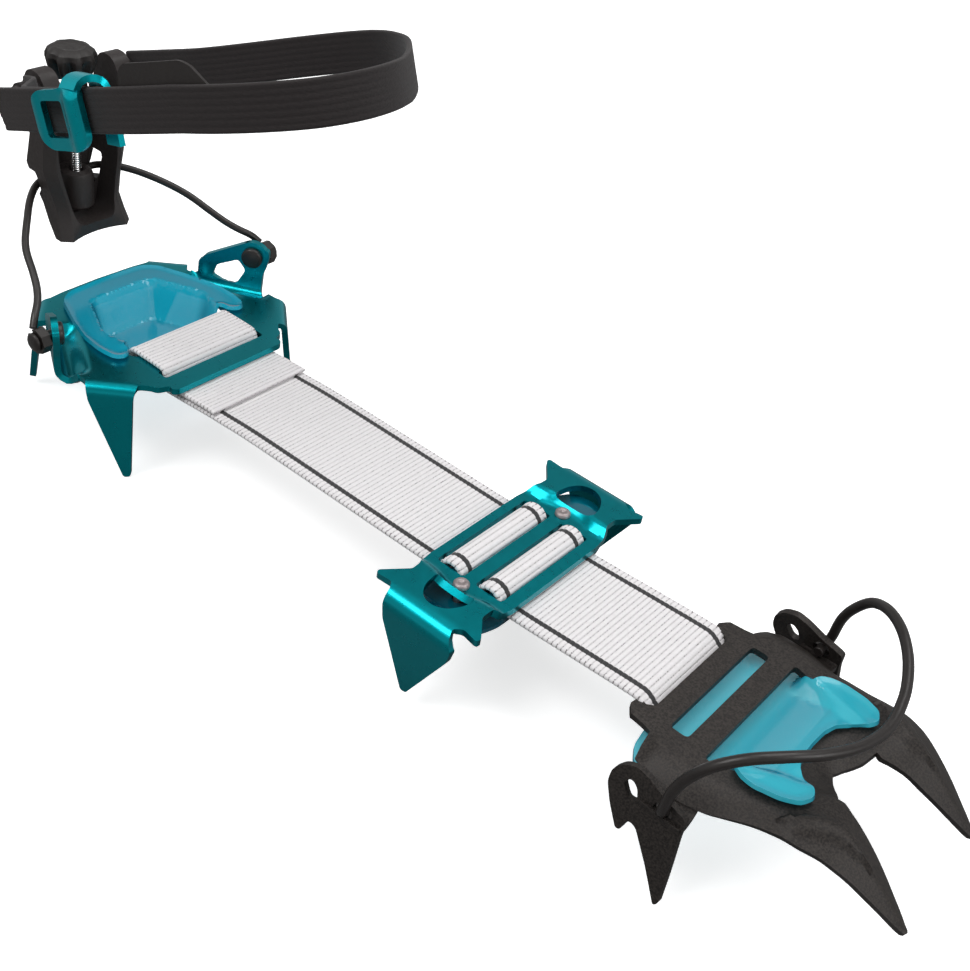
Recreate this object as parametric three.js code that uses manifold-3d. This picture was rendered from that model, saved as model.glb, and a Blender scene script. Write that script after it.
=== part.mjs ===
// Strap-linked hybrid crampon for one boot, in millimetres.
// Origin: centre of the middle plate, on the plane the boot sole rests on.
// +X points to the toe, +Y to the wearer's left, +Z up.
import * as THREE from 'three';
import { mergeVertices } from 'three/addons/utils/BufferGeometryUtils.js';
import Module from 'manifold-3d';

const wasm = await Module();
wasm.setup();

// ---------------------------------------------------------------- driving dimensions
const STRAP_WIDTH = 38;
const STRAP_THICK = 1.5;
const ALU_THICK = 2;
const STEEL_THICK = 2;
const TPU_THICK = 1.3;
const GAP = 0.35;

const HEEL_TOP = 0;
const HEEL_BAR_FRONT = -114;
const HEEL_REAR = -178;
const PIVOT_X = -147.2;
const PIVOT_Y = 38.7;
const PIVOT_Z = 9.9;
const EAR_ANGLE = Math.PI / 6;

const MID_FRONT = 15;
const MID_REAR = -14;
const MID_CENTRE_TOP = 0.6;
const MID_SIDE_TOP = 3;

const FRONT_TOP = -1.3;
const EAR_SPLAY = THREE.MathUtils.degToRad(11);
const BAIL_PIVOT_X = 78;
const BAIL_PIVOT_Z = -5.2;
const BAIL_WIRE = 2.8;

const LEVER_X = -188;
const CABLE_X = -192.6;
const CABLE_Z = 32.8;
const CABLE_WIRE = 2.2;
const KNOB_RADIUS = 7.8;
const KNOB_TOP = 76.2;
const LUG_X = -184;
const LUG_Z = 66;

const WEB_WIDTH = 11.6;
const WEB_THICK = 1.6;
const WEB_TILT = THREE.MathUtils.degToRad(20.3);

// Heights of the strap's centre line where it crosses from one rigid part to the next.
const STRAP_Z_HEEL = -3.9;
const STRAP_Z_MID = -3;
const STRAP_Z_TOE = -2.8;
const BEND_HEEL = -98;
const BEND_MID_REAR = -17;
const BEND_MID_FRONT = 18;
const BEND_TOE = 54;
const BEND_GAP = 0.55;

const X = new THREE.Vector3(1, 0, 0);
const Y = new THREE.Vector3(0, 1, 0);
const Z = new THREE.Vector3(0, 0, 1);

// ---------------------------------------------------------------- materials
function finish(color, roughness, metalness) {
  return new THREE.MeshStandardMaterial({ color, roughness, metalness });
}

const TEAL = finish(0x0b8fa0, 0.3, 0.9);
const TPU = finish(0x35a9bd, 0.25, 0.0);
const STEEL = finish(0x3b3634, 0.6, 0.6);
const WEBBING = finish(0xe1dedf, 0.9, 0.0);
const DARK_WEBBING = finish(0x262020, 0.9, 0.0);
const BLACK_PLASTIC = finish(0x2e2a2a, 0.6, 0.0);
const BLACK_WIRE = finish(0x2b2624, 0.4, 0.4);
const CHROME = finish(0xc8c8c8, 0.15, 1.0);
const RIVET_GREY = finish(0x8f8888, 0.4, 0.8);

// ---------------------------------------------------------------- solids and booleans
function unindexed(geometry) {
  return geometry.index ? geometry.toNonIndexed() : geometry.clone();
}

function toSolid(geometry) {
  const bare = unindexed(geometry);
  bare.deleteAttribute('normal');
  bare.deleteAttribute('uv');
  const merged = mergeVertices(bare, 1e-4);
  return new wasm.Manifold(new wasm.Mesh({
    numProp: 3,
    vertProperties: new Float32Array(merged.attributes.position.array),
    triVerts: new Uint32Array(merged.index.array),
  }));
}

function toGeometry(solid) {
  const mesh = solid.getMesh();
  const geometry = new THREE.BufferGeometry();
  geometry.setAttribute('position', new THREE.BufferAttribute(mesh.vertProperties, 3));
  geometry.setIndex(new THREE.BufferAttribute(mesh.triVerts, 1));
  geometry.computeVertexNormals();
  return geometry;
}

function join(...geometries) {
  const solids = geometries.map(toSolid);
  return toGeometry(solids.reduce((whole, next) => whole.add(next)));
}

function cut(geometry, ...tools) {
  return toGeometry(tools.reduce((whole, tool) => whole.subtract(toSolid(tool)), toSolid(geometry)));
}

function common(a, b) {
  return toGeometry(toSolid(a).intersect(toSolid(b)));
}

function mirrored(geometry) {
  const copy = unindexed(geometry);
  const position = copy.attributes.position;
  for (let i = 0; i < position.count; i += 3) {
    const corners = [0, 2, 1].map((k) => new THREE.Vector3().fromBufferAttribute(position, i + k));
    corners.forEach((p, k) => position.setXYZ(i + k, p.x, -p.y, p.z));
  }
  copy.deleteAttribute('normal');
  return copy;
}

function onBothSides(geometry) {
  return [geometry, mirrored(geometry)];
}

// ---------------------------------------------------------------- outlines and plates
function anticlockwise(points) {
  const corners = points.map(([x, y]) => new THREE.Vector2(x, y));
  return THREE.ShapeUtils.isClockWise(corners) ? corners.reverse() : corners;
}

function outline(points) {
  return new THREE.Shape(anticlockwise(points));
}

// A closed outline from its half with y >= 0, listed from front to rear.
function symmetric(half) {
  return outline([...half, ...half.slice().reverse().map(([x, y]) => [x, -y])]);
}

// Corners rounded with quadratic arcs.
function rounded(points, radius) {
  const shape = new THREE.Shape();
  const corners = anticlockwise(points);
  corners.forEach((corner, i) => {
    const before = corners[(i + corners.length - 1) % corners.length];
    const after = corners[(i + 1) % corners.length];
    const reach = Math.min(radius, corner.distanceTo(before) / 2.2, corner.distanceTo(after) / 2.2);
    const start = corner.clone().add(before.clone().sub(corner).setLength(reach));
    const end = corner.clone().add(after.clone().sub(corner).setLength(reach));
    if (i === 0) shape.moveTo(start.x, start.y);
    else shape.lineTo(start.x, start.y);
    shape.quadraticCurveTo(corner.x, corner.y, end.x, end.y);
  });
  shape.closePath();
  return shape;
}

function extrude(shape, depth, curveSegments = 4) {
  return new THREE.ExtrudeGeometry(shape, { depth, bevelEnabled: false, curveSegments });
}

// Puts local x along u, local y along v and the extrusion along u cross v.
function place(geometry, origin, u, v) {
  const basis = new THREE.Matrix4().makeBasis(u, v, u.clone().cross(v)).setPosition(origin);
  return geometry.applyMatrix4(basis);
}

// A plate lying flat, with its top face at the given height.
function flatPlate(shape, top, thickness) {
  return extrude(shape, thickness).translate(0, 0, top - thickness);
}

// A shape drawn in X and Z, spanning y from low to high.
function acrossY(shape, low, high) {
  return place(extrude(shape, high - low), new THREE.Vector3(0, high, 0), X, Z);
}

// A shape drawn in Y and Z, spanning x from low to high.
function alongX(shape, low, high) {
  return place(extrude(shape, high - low), new THREE.Vector3(low, 0, 0), Y, Z);
}

function cylinderAlong(axis, radius, from, to, at, segments = 20) {
  const length = to - from;
  const geometry = new THREE.CylinderGeometry(radius, radius, length, segments);
  geometry.applyQuaternion(new THREE.Quaternion().setFromUnitVectors(Y, axis));
  return geometry.translate(...at.clone().addScaledVector(axis, from + length / 2).toArray());
}

// A sheet of even thickness that follows an open centre line.
function ribbon(centre, thickness) {
  const points = centre.map(([x, y]) => new THREE.Vector2(x, y));
  const side = (sign) => points.map((point, i) => {
    const before = points[Math.max(i - 1, 0)];
    const after = points[Math.min(i + 1, points.length - 1)];
    const inward = i > 0 ? point.clone().sub(before).normalize() : after.clone().sub(point).normalize();
    const onward = i < points.length - 1 ? after.clone().sub(point).normalize() : inward;
    const middle = inward.clone().add(onward).normalize();
    const miter = Math.max(middle.dot(onward), 0.5);
    const reach = sign * thickness / 2 / miter;
    return new THREE.Vector2(point.x - middle.y * reach, point.y + middle.x * reach);
  });
  return new THREE.Shape([...side(-1), ...side(1).reverse()]);
}

// A closed skin between two grids of points with matching rows and columns.
function skin(upper, lower) {
  const rows = upper.length;
  const columns = upper[0].length;
  const triangles = [];
  const quad = (a, b, c, d) => triangles.push(a, b, c, a, c, d);
  for (let i = 0; i < rows - 1; i += 1) {
    for (let j = 0; j < columns - 1; j += 1) {
      quad(upper[i][j], upper[i + 1][j], upper[i + 1][j + 1], upper[i][j + 1]);
      quad(lower[i][j], lower[i][j + 1], lower[i + 1][j + 1], lower[i + 1][j]);
    }
  }
  for (let i = 0; i < rows - 1; i += 1) {
    const last = columns - 1;
    quad(upper[i][0], lower[i][0], lower[i + 1][0], upper[i + 1][0]);
    quad(upper[i][last], upper[i + 1][last], lower[i + 1][last], lower[i][last]);
  }
  for (let j = 0; j < columns - 1; j += 1) {
    const last = rows - 1;
    quad(upper[0][j], upper[0][j + 1], lower[0][j + 1], lower[0][j]);
    quad(upper[last][j], lower[last][j], lower[last][j + 1], upper[last][j + 1]);
  }
  const flat = triangles.flatMap((p) => [p.x, p.y, p.z]);
  const geometry = new THREE.BufferGeometry();
  geometry.setAttribute('position', new THREE.Float32BufferAttribute(flat, 3));
  return geometry;
}

// A formed sheet through rows of points, thickened downwards from its upper face.
function formedSheet(rows, thickness) {
  const upper = rows.map((row) => row.map(([x, y, z]) => new THREE.Vector3(x, y, z)));
  const normalAt = (i, j) => {
    const along = upper[Math.min(i + 1, upper.length - 1)][j].clone().sub(upper[Math.max(i - 1, 0)][j]);
    const last = upper[i].length - 1;
    const across = upper[i][Math.min(j + 1, last)].clone().sub(upper[i][Math.max(j - 1, 0)]);
    return along.cross(across).normalize();
  };
  const lower = upper.map((row, i) => row.map((p, j) => p.clone().addScaledVector(normalAt(i, j), -thickness)));
  return skin(upper, lower);
}

// A round wire along a smooth curve through the given points.
function wire(points, diameter, steps) {
  const path = new THREE.CatmullRomCurve3(points.map(([x, y, z]) => new THREE.Vector3(x, y, z)));
  const section = new THREE.Shape();
  section.absarc(0, 0, diameter / 2, 0, 2 * Math.PI, false);
  return new THREE.ExtrudeGeometry(section, { extrudePath: path, steps, curveSegments: 5, bevelEnabled: false });
}

// A triangular spike plate hanging below a bend line.
// The bend line runs from start to end; the tip lies at a fraction along it.
function spike(start, end, tipAlong, depth, tipWidth, splay, thickness, outward) {
  const along = new THREE.Vector3(end[0] - start[0], end[1] - start[1], 0);
  const width = along.length();
  along.normalize();
  const down = new THREE.Vector3(outward[0], outward[1], 0).normalize().multiplyScalar(Math.sin(splay));
  down.z = -Math.cos(splay);
  const tip = tipAlong * width;
  const shape = outline([
    [0, -1], [width, -1], [width, depth * 0.12],
    [tip + tipWidth / 2, depth], [tip - tipWidth / 2, depth], [0, depth * 0.12],
  ]);
  const origin = new THREE.Vector3(start[0], start[1], start[2]);
  const normal = along.clone().cross(down);
  const face = new THREE.Vector3(outward[0], outward[1], 0);
  const shift = normal.dot(face) > 0 ? -thickness : 0;
  return place(extrude(shape, thickness).translate(0, 0, shift), origin, along, down);
}

// ---------------------------------------------------------------- heel frame
function heelPlate() {
  const body = symmetric([
    [HEEL_BAR_FRONT, 20.7], [-117, 21.6], [-118, 25.4], [-120.4, 26.2], [-123.2, 28.5],
    [-134.6, 38.7], [-141, 40.2], [-147.2, 38.7], [-164, 29.2], [-168.6, 29.4],
    [-178.2, 20], [HEEL_REAR, 0],
  ]);
  body.holes.push(rounded([[-120.9, 19.8], [-124.8, 19.8], [-124.8, -19.8], [-120.9, -19.8]], 1));
  body.holes.push(rounded([
    [-134.8, 20.2], [-150.5, 21.8], [-168.6, 13], [-168.6, -13], [-150.5, -21.8], [-134.8, -20.2],
  ], 3));
  return flatPlate(body, HEEL_TOP, ALU_THICK);
}

function heelEar() {
  const along = new THREE.Vector3(Math.cos(EAR_ANGLE), Math.sin(EAR_ANGLE), 0);
  const ear = rounded([
    [4.4, -PIVOT_Z - 2.2], [5.8, -1.2], [4.6, 4.6], [-1.2, 5.8], [-15.6, -3.2], [-19.4, -8.4], [-16.6, -12.1],
  ], 3);
  ear.holes.push(rounded([[-2.6, -9], [-4.8, -3.4], [-11.8, -6.2], [-13.4, -9.4]], 1));
  const start = new THREE.Vector3(PIVOT_X, PIVOT_Y, PIVOT_Z);
  const plate = place(extrude(ear, ALU_THICK).translate(0, 0, -ALU_THICK / 2), start, along, Z);
  return cut(plate, cylinderAlong(Y, 2.35, -8, 8, start));
}

function heelFrame() {
  const front = spike([-134.1, 37.9, -0.5], [-123.9, 28.8, -0.5], 0.83, 30.2, 2.2, 0.12, ALU_THICK, [0.67, 0.74]);
  const rear = spike([-177.6, 20.2, -0.5], [-168.9, 28.8, -0.5], 0.2, 28, 2.2, 0.16, ALU_THICK, [-0.7, 0.71]);
  return join(heelPlate(), ...onBothSides(heelEar()), ...onBothSides(front), ...onBothSides(rear));
}

// Flexible tray that stops snow packing under the heel: a rim on the frame and a pocket through it.
function heelTray() {
  const pocket = [[-142.4, 15.5], [-143, 18.6], [-150.3, 20.2], [-167, 12], [-167.4, 0]];
  const inner = [[-144, 14.6], [-144.6, 17.2], [-150, 18.6], [-165.4, 11.2], [-165.8, 0]];
  const rim = symmetric([
    [-142.2, 22.6], [-143, 25.4], [-151, 26.4], [-160, 23.4], [-172.6, 18.4], [-174.4, 15], [-175, 0],
  ]);
  rim.holes.push(symmetric(inner));
  const wall = symmetric(pocket);
  wall.holes.push(symmetric(inner));
  const floor = symmetric(pocket);
  const rimTop = HEEL_TOP + GAP + TPU_THICK;
  return join(
    flatPlate(rim, rimTop, TPU_THICK),
    flatPlate(wall, rimTop, 13),
    flatPlate(floor, rimTop - 12, TPU_THICK),
  );
}

// Domed rivet through an ear, along Y, with the cable eye between ear and outer head.
function heelRivet() {
  const head = new THREE.CylinderGeometry(2.6, 3.4, 1.4, 24).translate(0, PIVOT_Y + 9.1, 0);
  const shank = new THREE.CylinderGeometry(2, 2, 13, 24).translate(0, PIVOT_Y + 2.2, 0);
  const inner = new THREE.CylinderGeometry(3.4, 2.8, 1.2, 24).translate(0, PIVOT_Y - 3.9, 0);
  return join(head, shank, inner).translate(PIVOT_X, 0, PIVOT_Z);
}

// ---------------------------------------------------------------- linking strap
function strapPiece(centre, width = STRAP_WIDTH, thickness = STRAP_THICK) {
  return acrossY(ribbon(centre, thickness), -width / 2, width / 2);
}

function arcPoints(cx, cz, radius, from, to, count) {
  return Array.from({ length: count + 1 }, (_, i) => {
    const angle = THREE.MathUtils.degToRad(from + (to - from) * i / count);
    return [cx + radius * Math.cos(angle), cz + radius * Math.sin(angle)];
  });
}

// Runs under both bars, back over the inner bar, down between them and out as a free hem.
function strapHeel() {
  const under = -6.2;
  const flap = -3.15;
  const turn = arcPoints(-136.4, -2.65, 3.55, -110, -270, 8);
  const drop = [[-125, 0.95], [-123.7, 0.4], [-122.9, -1.1], [-121.9, -2.7], [-119.6, flap]];
  return strapPiece([
    [BEND_HEEL - BEND_GAP, STRAP_Z_HEEL], [-104, -4.3], [-113, -5.1], [-122, -5.8], [-130, under],
    ...turn, ...drop, [-114, flap], [-107, -2.6], [-100.4, -2.3],
  ]);
}

function strapRearSpan() {
  return strapPiece([
    [BEND_HEEL + BEND_GAP, STRAP_Z_HEEL], [-84, -3.3], [BEND_MID_REAR - BEND_GAP, STRAP_Z_MID],
  ]);
}

// Rises through both slots of the middle plate and dips under its bars.
function strapMid() {
  const low = -2.6;
  const high = 0.8;
  const hump = (from, to) => [0.1, 0.3, 0.7, 0.9].map((t, i) => [
    from + (to - from) * t, i === 0 || i === 3 ? (low + high) / 2 : high,
  ]);
  return strapPiece([
    [BEND_MID_REAR + BEND_GAP, STRAP_Z_MID], [-11.1, low], ...hump(-10.6, -2.5), [-2, low], [2.3, low],
    ...hump(2.8, 10.7), [11.2, low], [BEND_MID_FRONT - BEND_GAP, STRAP_Z_TOE],
  ], STRAP_WIDTH - 0.6);
}

function strapFrontSpan() {
  return strapPiece([
    [BEND_MID_FRONT + BEND_GAP, STRAP_Z_TOE], [38, -1.8], [BEND_TOE - BEND_GAP, -1.2],
  ]);
}

// Dives under the rear bar of the front plate and wraps it.
function strapToe() {
  return strapPiece([
    [BEND_TOE + BEND_GAP, -1.2], [56.6, -1.8], [58.4, -3.4], [60.4, -4.5], [65, -4.6],
  ], 34.4);
}

// ---------------------------------------------------------------- middle plate
function midCentrePlate() {
  const body = rounded([
    [MID_FRONT, 18.5], [MID_FRONT - 1, 25.5], [MID_REAR + 1, 25.5], [MID_REAR, 18.5],
    [MID_REAR, -18.5], [MID_REAR + 1, -25.5], [MID_FRONT - 1, -25.5], [MID_FRONT, -18.5],
  ], 2);
  const slot = (low, high) => rounded([[low, -19.4], [high, -19.4], [high, 19.4], [low, 19.4]], 0.8);
  body.holes.push(slot(-11.3, -1.8), slot(2.1, 11.4));
  return flatPlate(body, MID_CENTRE_TOP, STEEL_THICK);
}

// Step up to the side platform, platform, rolled edge and the start of the flange.
function midSideProfile() {
  const half = STEEL_THICK / 2;
  const low = MID_CENTRE_TOP - half;
  const high = MID_SIDE_TOP - half;
  return [[23.4, low], [25.1, low], [27.2, high], [36.6, high], ...arcPoints(36.6, high - 5, 5, 80, 0, 5), [41.6, -5]];
}

function midSide() {
  const strip = alongX(ribbon(midSideProfile(), STEEL_THICK), MID_REAR + 4.4, MID_FRONT - 2);
  const window = rounded([[-5.5, 28], [7, 28], [6, 35.4], [-4.5, 35.4]], 2.5);
  const opened = cut(strip, extrude(window, 12).translate(0, 0, -4));
  const flange = outline([[-9.6, -2.4], [13, -2.4], [12.4, -5.4], [1.3, -25.5], [-0.6, -25.5], [-9.4, -5.4]]);
  const rearPoint = flatPlate(outline([
    [-10, 29], [-16.8, 36], [-16.4, 37.2], [-10, 36.4], [-6, 34], [-6, 30],
  ]), MID_SIDE_TOP - 0.05, STEEL_THICK - 0.1);
  const forePoint = flatPlate(outline([
    [12, 29], [17.8, 36], [17.4, 37.2], [12, 36.4], [8.6, 34], [8.6, 30],
  ]), MID_SIDE_TOP - 0.05, STEEL_THICK - 0.1);
  return join(opened, acrossY(flange, 40.6, 42.6), rearPoint, forePoint);
}

function midPlate() {
  const plate = join(midCentrePlate(), ...onBothSides(midSide()));
  const hole = (side) => cylinderAlong(Z, 2.1, -6, 6, new THREE.Vector3(0, 22.3 * side, 0), 16);
  return cut(plate, hole(1), hole(-1));
}

// Flexible plate below: two ribs push the strap up through the slots.
function midUnderPlate() {
  const base = flatPlate(rounded([
    [13, 24], [9, 30.5], [-7, 30.5], [-12, 24], [-12, -24], [-7, -30.5], [9, -30.5], [13, -24],
  ], 3), -3.8, 1.6);
  const rib = (centre) => acrossY(outline([
    [centre - 2.4, -4.4], [centre + 2.4, -4.4], [centre + 1.9, -1.6], [centre + 1.2, -0.4],
    [centre - 1.2, -0.4], [centre - 1.9, -1.6],
  ]), -18, 18);
  const pad = (side) => cylinderAlong(Z, 2.9, -4.2, -1.75, new THREE.Vector3(0, 22.4 * side, 0), 16);
  const plate = join(base, rib(-6.55), rib(6.7), pad(1), pad(-1));
  const hole = (side) => cylinderAlong(Z, 1.95, -8, 4, new THREE.Vector3(0, 22.3 * side, 0), 16);
  return cut(plate, hole(1), hole(-1));
}

function midRivet() {
  const profile = [[0, -6.6], [2.6, -6.3], [2.8, -5.8], [1.6, -5.8], [1.6, 0.95], [2.4, 0.95], [1.9, 1.5], [0, 1.7]];
  const lathe = new THREE.LatheGeometry(profile.map(([r, z]) => new THREE.Vector2(r, z)), 20);
  return lathe.rotateX(Math.PI / 2).translate(0, 22.3, 0);
}

// ---------------------------------------------------------------- front frame
// Stations from the rear bar to the tip of a front point: x, then y and z of the inner edge,
// of the fold or ridge, and of the outer edge.
const RAIL = [
  [64, 20, -1.3, 24.6, -1.3, 30.6, -4.2],
  [68, 22.4, -1.3, 28.2, -1.3, 34, -5],
  [76, 22.8, -1.3, 28.8, -1.3, 34.6, -5.6],
  [84, 20.8, -1.2, 27.6, -1.2, 33, -5.8],
  [90, 18.6, -0.8, 26.6, -0.9, 31.4, -4.2],
  [96, 15.6, -0.4, 25.8, -0.3, 29.8, -2.6],
  [102, 12.4, 0, 24.6, 0.6, 29, -1.3],
  [107, 9.6, -0.1, 22, 1.6, 28.7, -1],
  [112, 10.9, -1.2, 19.6, 1.2, 27.5, -1.5],
  [116, 12.1, -2.7, 19, -0.3, 26.6, -3],
  [120, 13.1, -5, 19, -2.8, 25.3, -5],
  [124, 14.4, -7.5, 19.1, -5.7, 24, -7.5],
  [128, 15.8, -10.3, 19.2, -9, 22.6, -10.3],
  [132, 17.3, -13.1, 19.2, -12.5, 21.2, -13.1],
  [134, 18.2, -14.6, 19.2, -14.3, 20.3, -14.6],
];

function frontRail() {
  const rows = RAIL.map(([x, iy, iz, fy, fz, oy, oz]) => [[x, iy, iz], [x, fy, fz], [x, oy, oz]]);
  return formedSheet(rows, STEEL_THICK);
}

function frontPlate() {
  const body = symmetric([
    [82, 24.4], [76, 28], [68.4, 27.6], [64, 24.2], [58.6, 24.2], [54.6, 21.4], [55.2, 17.6], [60, 18.2],
  ]);
  const slot = rounded([[65.1, 19.4], [71.5, 20.6], [71.5, -20.6], [65.1, -19.4]], 1.4);
  body.holes.push(slot);
  const opening = rounded([[77, 23.2], [90, 19], [90, -19], [77, -23.2]], 1);
  return cut(flatPlate(body, FRONT_TOP, STEEL_THICK), extrude(opening, 20).translate(0, 0, -10));
}

// Web between the two front points, dipping to a shallow valley in the middle.
function frontWeb() {
  const across = [-1, -0.7, -0.35, 0, 0.35, 0.7, 1];
  const row = (x, half, edge, valley) => across.map((t) => [
    x + (1 - Math.abs(t)) * (x > 101 ? 101.7 - x : 0), t * half, edge + (1 - Math.abs(t)) * valley,
  ]);
  return formedSheet([
    row(91, 19, -0.9, -0.6), row(96, 16.4, -0.5, -2), row(100, 14, -0.2, -4), row(106.4, 10.4, -0.2, -5.8),
  ], STEEL_THICK);
}

// Splayed ear that carries the toe bail, with the side spike below it.
function frontEar() {
  const profile = rounded([
    [63, -6.6], [63.1, -3.4], [65.4, -0.6], [68.8, 0.6], [73, -0.8], [84, -3.2], [83.4, -8], [85.8, -28.6],
    [84.6, -29.4], [73.6, -13.4], [71.6, -13.6], [69, -17.2],
  ], 0.6);
  profile.holes.push(rounded([[66.8, -4.5], [68.6, -2.4], [70.6, -4.2], [71.4, -7.6], [68.6, -7.8]], 1));
  const plate = extrude(profile, STEEL_THICK).translate(0, 0, -STEEL_THICK / 2);
  const up = new THREE.Vector3(0, -Math.sin(EAR_SPLAY), Math.cos(EAR_SPLAY));
  place(plate, new THREE.Vector3(0, 37.2, 0), X, up);
  const shelf = alongX(ribbon([[33, -5.4], [35, -6.9], [38.4, -6.9]], STEEL_THICK), 66, 83);
  const pivot = new THREE.Vector3(BAIL_PIVOT_X, 0, BAIL_PIVOT_Z);
  const bore = cylinderAlong(Y, BAIL_WIRE / 2 + 0.35, 34, 50, pivot, 16);
  const pocket = cylinderAlong(Y, 2.3, 34.4, 37, pivot, 16);
  return cut(join(plate, shelf), bore, pocket);
}

function frontFrame() {
  return join(frontPlate(), frontWeb(), ...onBothSides(frontRail()), ...onBothSides(frontEar()));
}

// Flexible plate under the steel that rises through the opening and laps over the rails.
function frontBallPlate() {
  const under = flatPlate(rounded([
    [79, 27], [66, 30.6], [60.4, 27], [60.4, -27], [66, -30.6], [79, -27],
  ], 3), -7.4, TPU_THICK);
  const ramp = acrossY(ribbon([
    [77, -8], [79.4, -5.6], [81, -2], [84.4, 0.6], [90, 2.4], [94, 3],
  ], TPU_THICK), -17.6, 17.6);
  const lap = flatPlate(rounded([
    [84.8, 0], [84.8, 23.4], [90, 23.2], [97, 22.2], [101.6, 19.6], [102.6, 15.4], [98.4, 12.6], [94.6, 7],
    [94.2, 0], [94.6, -7], [98.4, -12.6], [102.6, -15.4], [101.6, -19.6], [97, -22.2], [90, -23.2], [84.8, -23.4],
  ], 1.4), 3.1, TPU_THICK);
  return join(under, ramp, lap);
}

// ---------------------------------------------------------------- toe bail
function toeBail() {
  const side = (s) => [
    [BAIL_PIVOT_X, 36.4 * s, BAIL_PIVOT_Z], [BAIL_PIVOT_X, 40.8 * s, BAIL_PIVOT_Z],
    [BAIL_PIVOT_X + 0.2, 42 * s, BAIL_PIVOT_Z + 1.6], [79.6, 42 * s, 7], [84.6, 39.4 * s, 16],
    [91, 34.6 * s, 20.6], [97, 28.8 * s, 21.6], [102.4, 21.2 * s, 20.9], [107.2, 10.6 * s, 19.2],
  ];
  return wire([...side(-1), [108.6, 0, 18.4], ...side(1).reverse()], BAIL_WIRE, 72);
}

// ---------------------------------------------------------------- heel cable and lever
function heelCable() {
  const side = (s) => [
    [PIVOT_X - 2.8, 44.8 * s, PIVOT_Z + 2.4], [-151.2, 43.6 * s, 13.6], [-153.6, 40.4 * s, 15.8],
    [-157, 37.6 * s, 17.8], [-162.4, 35.2 * s, 20.6], [-172, 31 * s, 25.2], [-179.5, 24.6 * s, 29.4],
    [-186.4, 19 * s, 31.8], [CABLE_X, 12.6 * s, CABLE_Z], [CABLE_X, 8 * s, CABLE_Z],
  ];
  return wire([...side(-1), [CABLE_X, 0, CABLE_Z], ...side(1).reverse()], CABLE_WIRE, 60);
}

function cableEye() {
  const ring = new THREE.Shape();
  ring.absarc(0, 0, 4, 0, 2 * Math.PI, false);
  const bore = new THREE.Path();
  bore.absarc(0, 0, 2.3, 0, 2 * Math.PI, true);
  ring.holes.push(bore);
  const eye = acrossY(ring, PIVOT_Y + 4.6, PIVOT_Y + 7.6).translate(PIVOT_X, 0, PIVOT_Z);
  return cut(eye, cylinderAlong(new THREE.Vector3(-0.76, 0, 0.65).normalize(), CABLE_WIRE / 2 + 2 * GAP, 2.7, 7,
    new THREE.Vector3(PIVOT_X, 45, PIVOT_Z), 12));
}

// Nut on the adjuster screw; the cable crosses behind the screw.
function barrelNut() {
  const barrel = cylinderAlong(Z, 4.2, 22, 37, new THREE.Vector3(LEVER_X, 0, 0), 24);
  const block = new THREE.BoxGeometry(5.6, 7.6, 6).translate(CABLE_X + 0.2, 0, CABLE_Z);
  const screwBore = cylinderAlong(Z, 2, 20, 38, new THREE.Vector3(LEVER_X, 0, 0), 20);
  const cableBore = cylinderAlong(Y, CABLE_WIRE / 2 + 0.3, -8, 8, new THREE.Vector3(CABLE_X, 0, CABLE_Z), 14);
  return cut(join(barrel, block), screwBore, cableBore);
}

function housingLug() {
  const arch = rounded([[-189, 54], [-190, 63], [-187, 72.4], [-181, 72.4], [-178.4, 64], [-180.6, 54]], 4);
  const axle = new THREE.Vector3(LUG_X, 0, LUG_Z);
  return join(
    acrossY(arch, 12.4, 15.6),
    cylinderAlong(Y, 1.7, 15, 20.6, axle, 14),
    cylinderAlong(Y, 3.2, 20, 21.4, axle, 16),
  );
}

function leverHousing() {
  const front = outline([
    [10, 58.5], [15.4, 58.5], [13.8, 50], [15.2, 41], [12, 27], [12.6, 18.4],
    [0, 20.5], [-12.6, 18.4], [-12, 27], [-15.2, 41], [-13.8, 50], [-15.4, 58.5], [-10, 58.5],
  ]);
  const block = alongX(front, -196.4, -181.4);
  const lip = acrossY(outline([
    [-183, 36], [-180.6, 27], [-175.6, 18.2], [-177, 17.2], [-186, 22], [-187, 36],
  ]), -13.3, 13.3);
  const bite = cylinderAlong(Z, 26, 10, 26, new THREE.Vector3(-153.6, 0, 0), 40);
  const window = alongX(rounded([[8.4, 50.6], [8.4, 20.6], [-8.4, 20.6], [-8.4, 50.6]], 4), -195.2, -170);
  const rearPocket = alongX(rounded([[6, 49], [6, 42.6], [-6, 42.6], [-6, 49]], 2), -203, -190);
  const screwBore = cylinderAlong(Z, 2.4, 40, 64, new THREE.Vector3(LEVER_X, 0, 0), 20);
  const cableSlot = acrossY(rounded([
    [CABLE_X - 1.6, CABLE_Z - 6.4], [CABLE_X + 3.4, CABLE_Z - 6.4],
    [CABLE_X + 3.4, CABLE_Z + 5.6], [CABLE_X - 1.6, CABLE_Z + 5.6],
  ], 1.5), -30, 30);
  const rough = join(block, lip, ...onBothSides(housingLug()));
  return cut(rough, bite, window, rearPocket, screwBore, cableSlot);
}

// Slotted shank with a collar captured under the knob.
function adjusterScrew() {
  return new THREE.LatheGeometry([
    [0, 25.4], [1.3, 25.8], [1.65, 27], [1.65, 59], [3.8, 59], [3.8, 61.4], [2.4, 61.4], [2.4, 66.4], [0, 66.4],
  ].map(([r, z]) => new THREE.Vector2(r, z)), 20).rotateX(Math.PI / 2).translate(LEVER_X, 0, 0);
}

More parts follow.
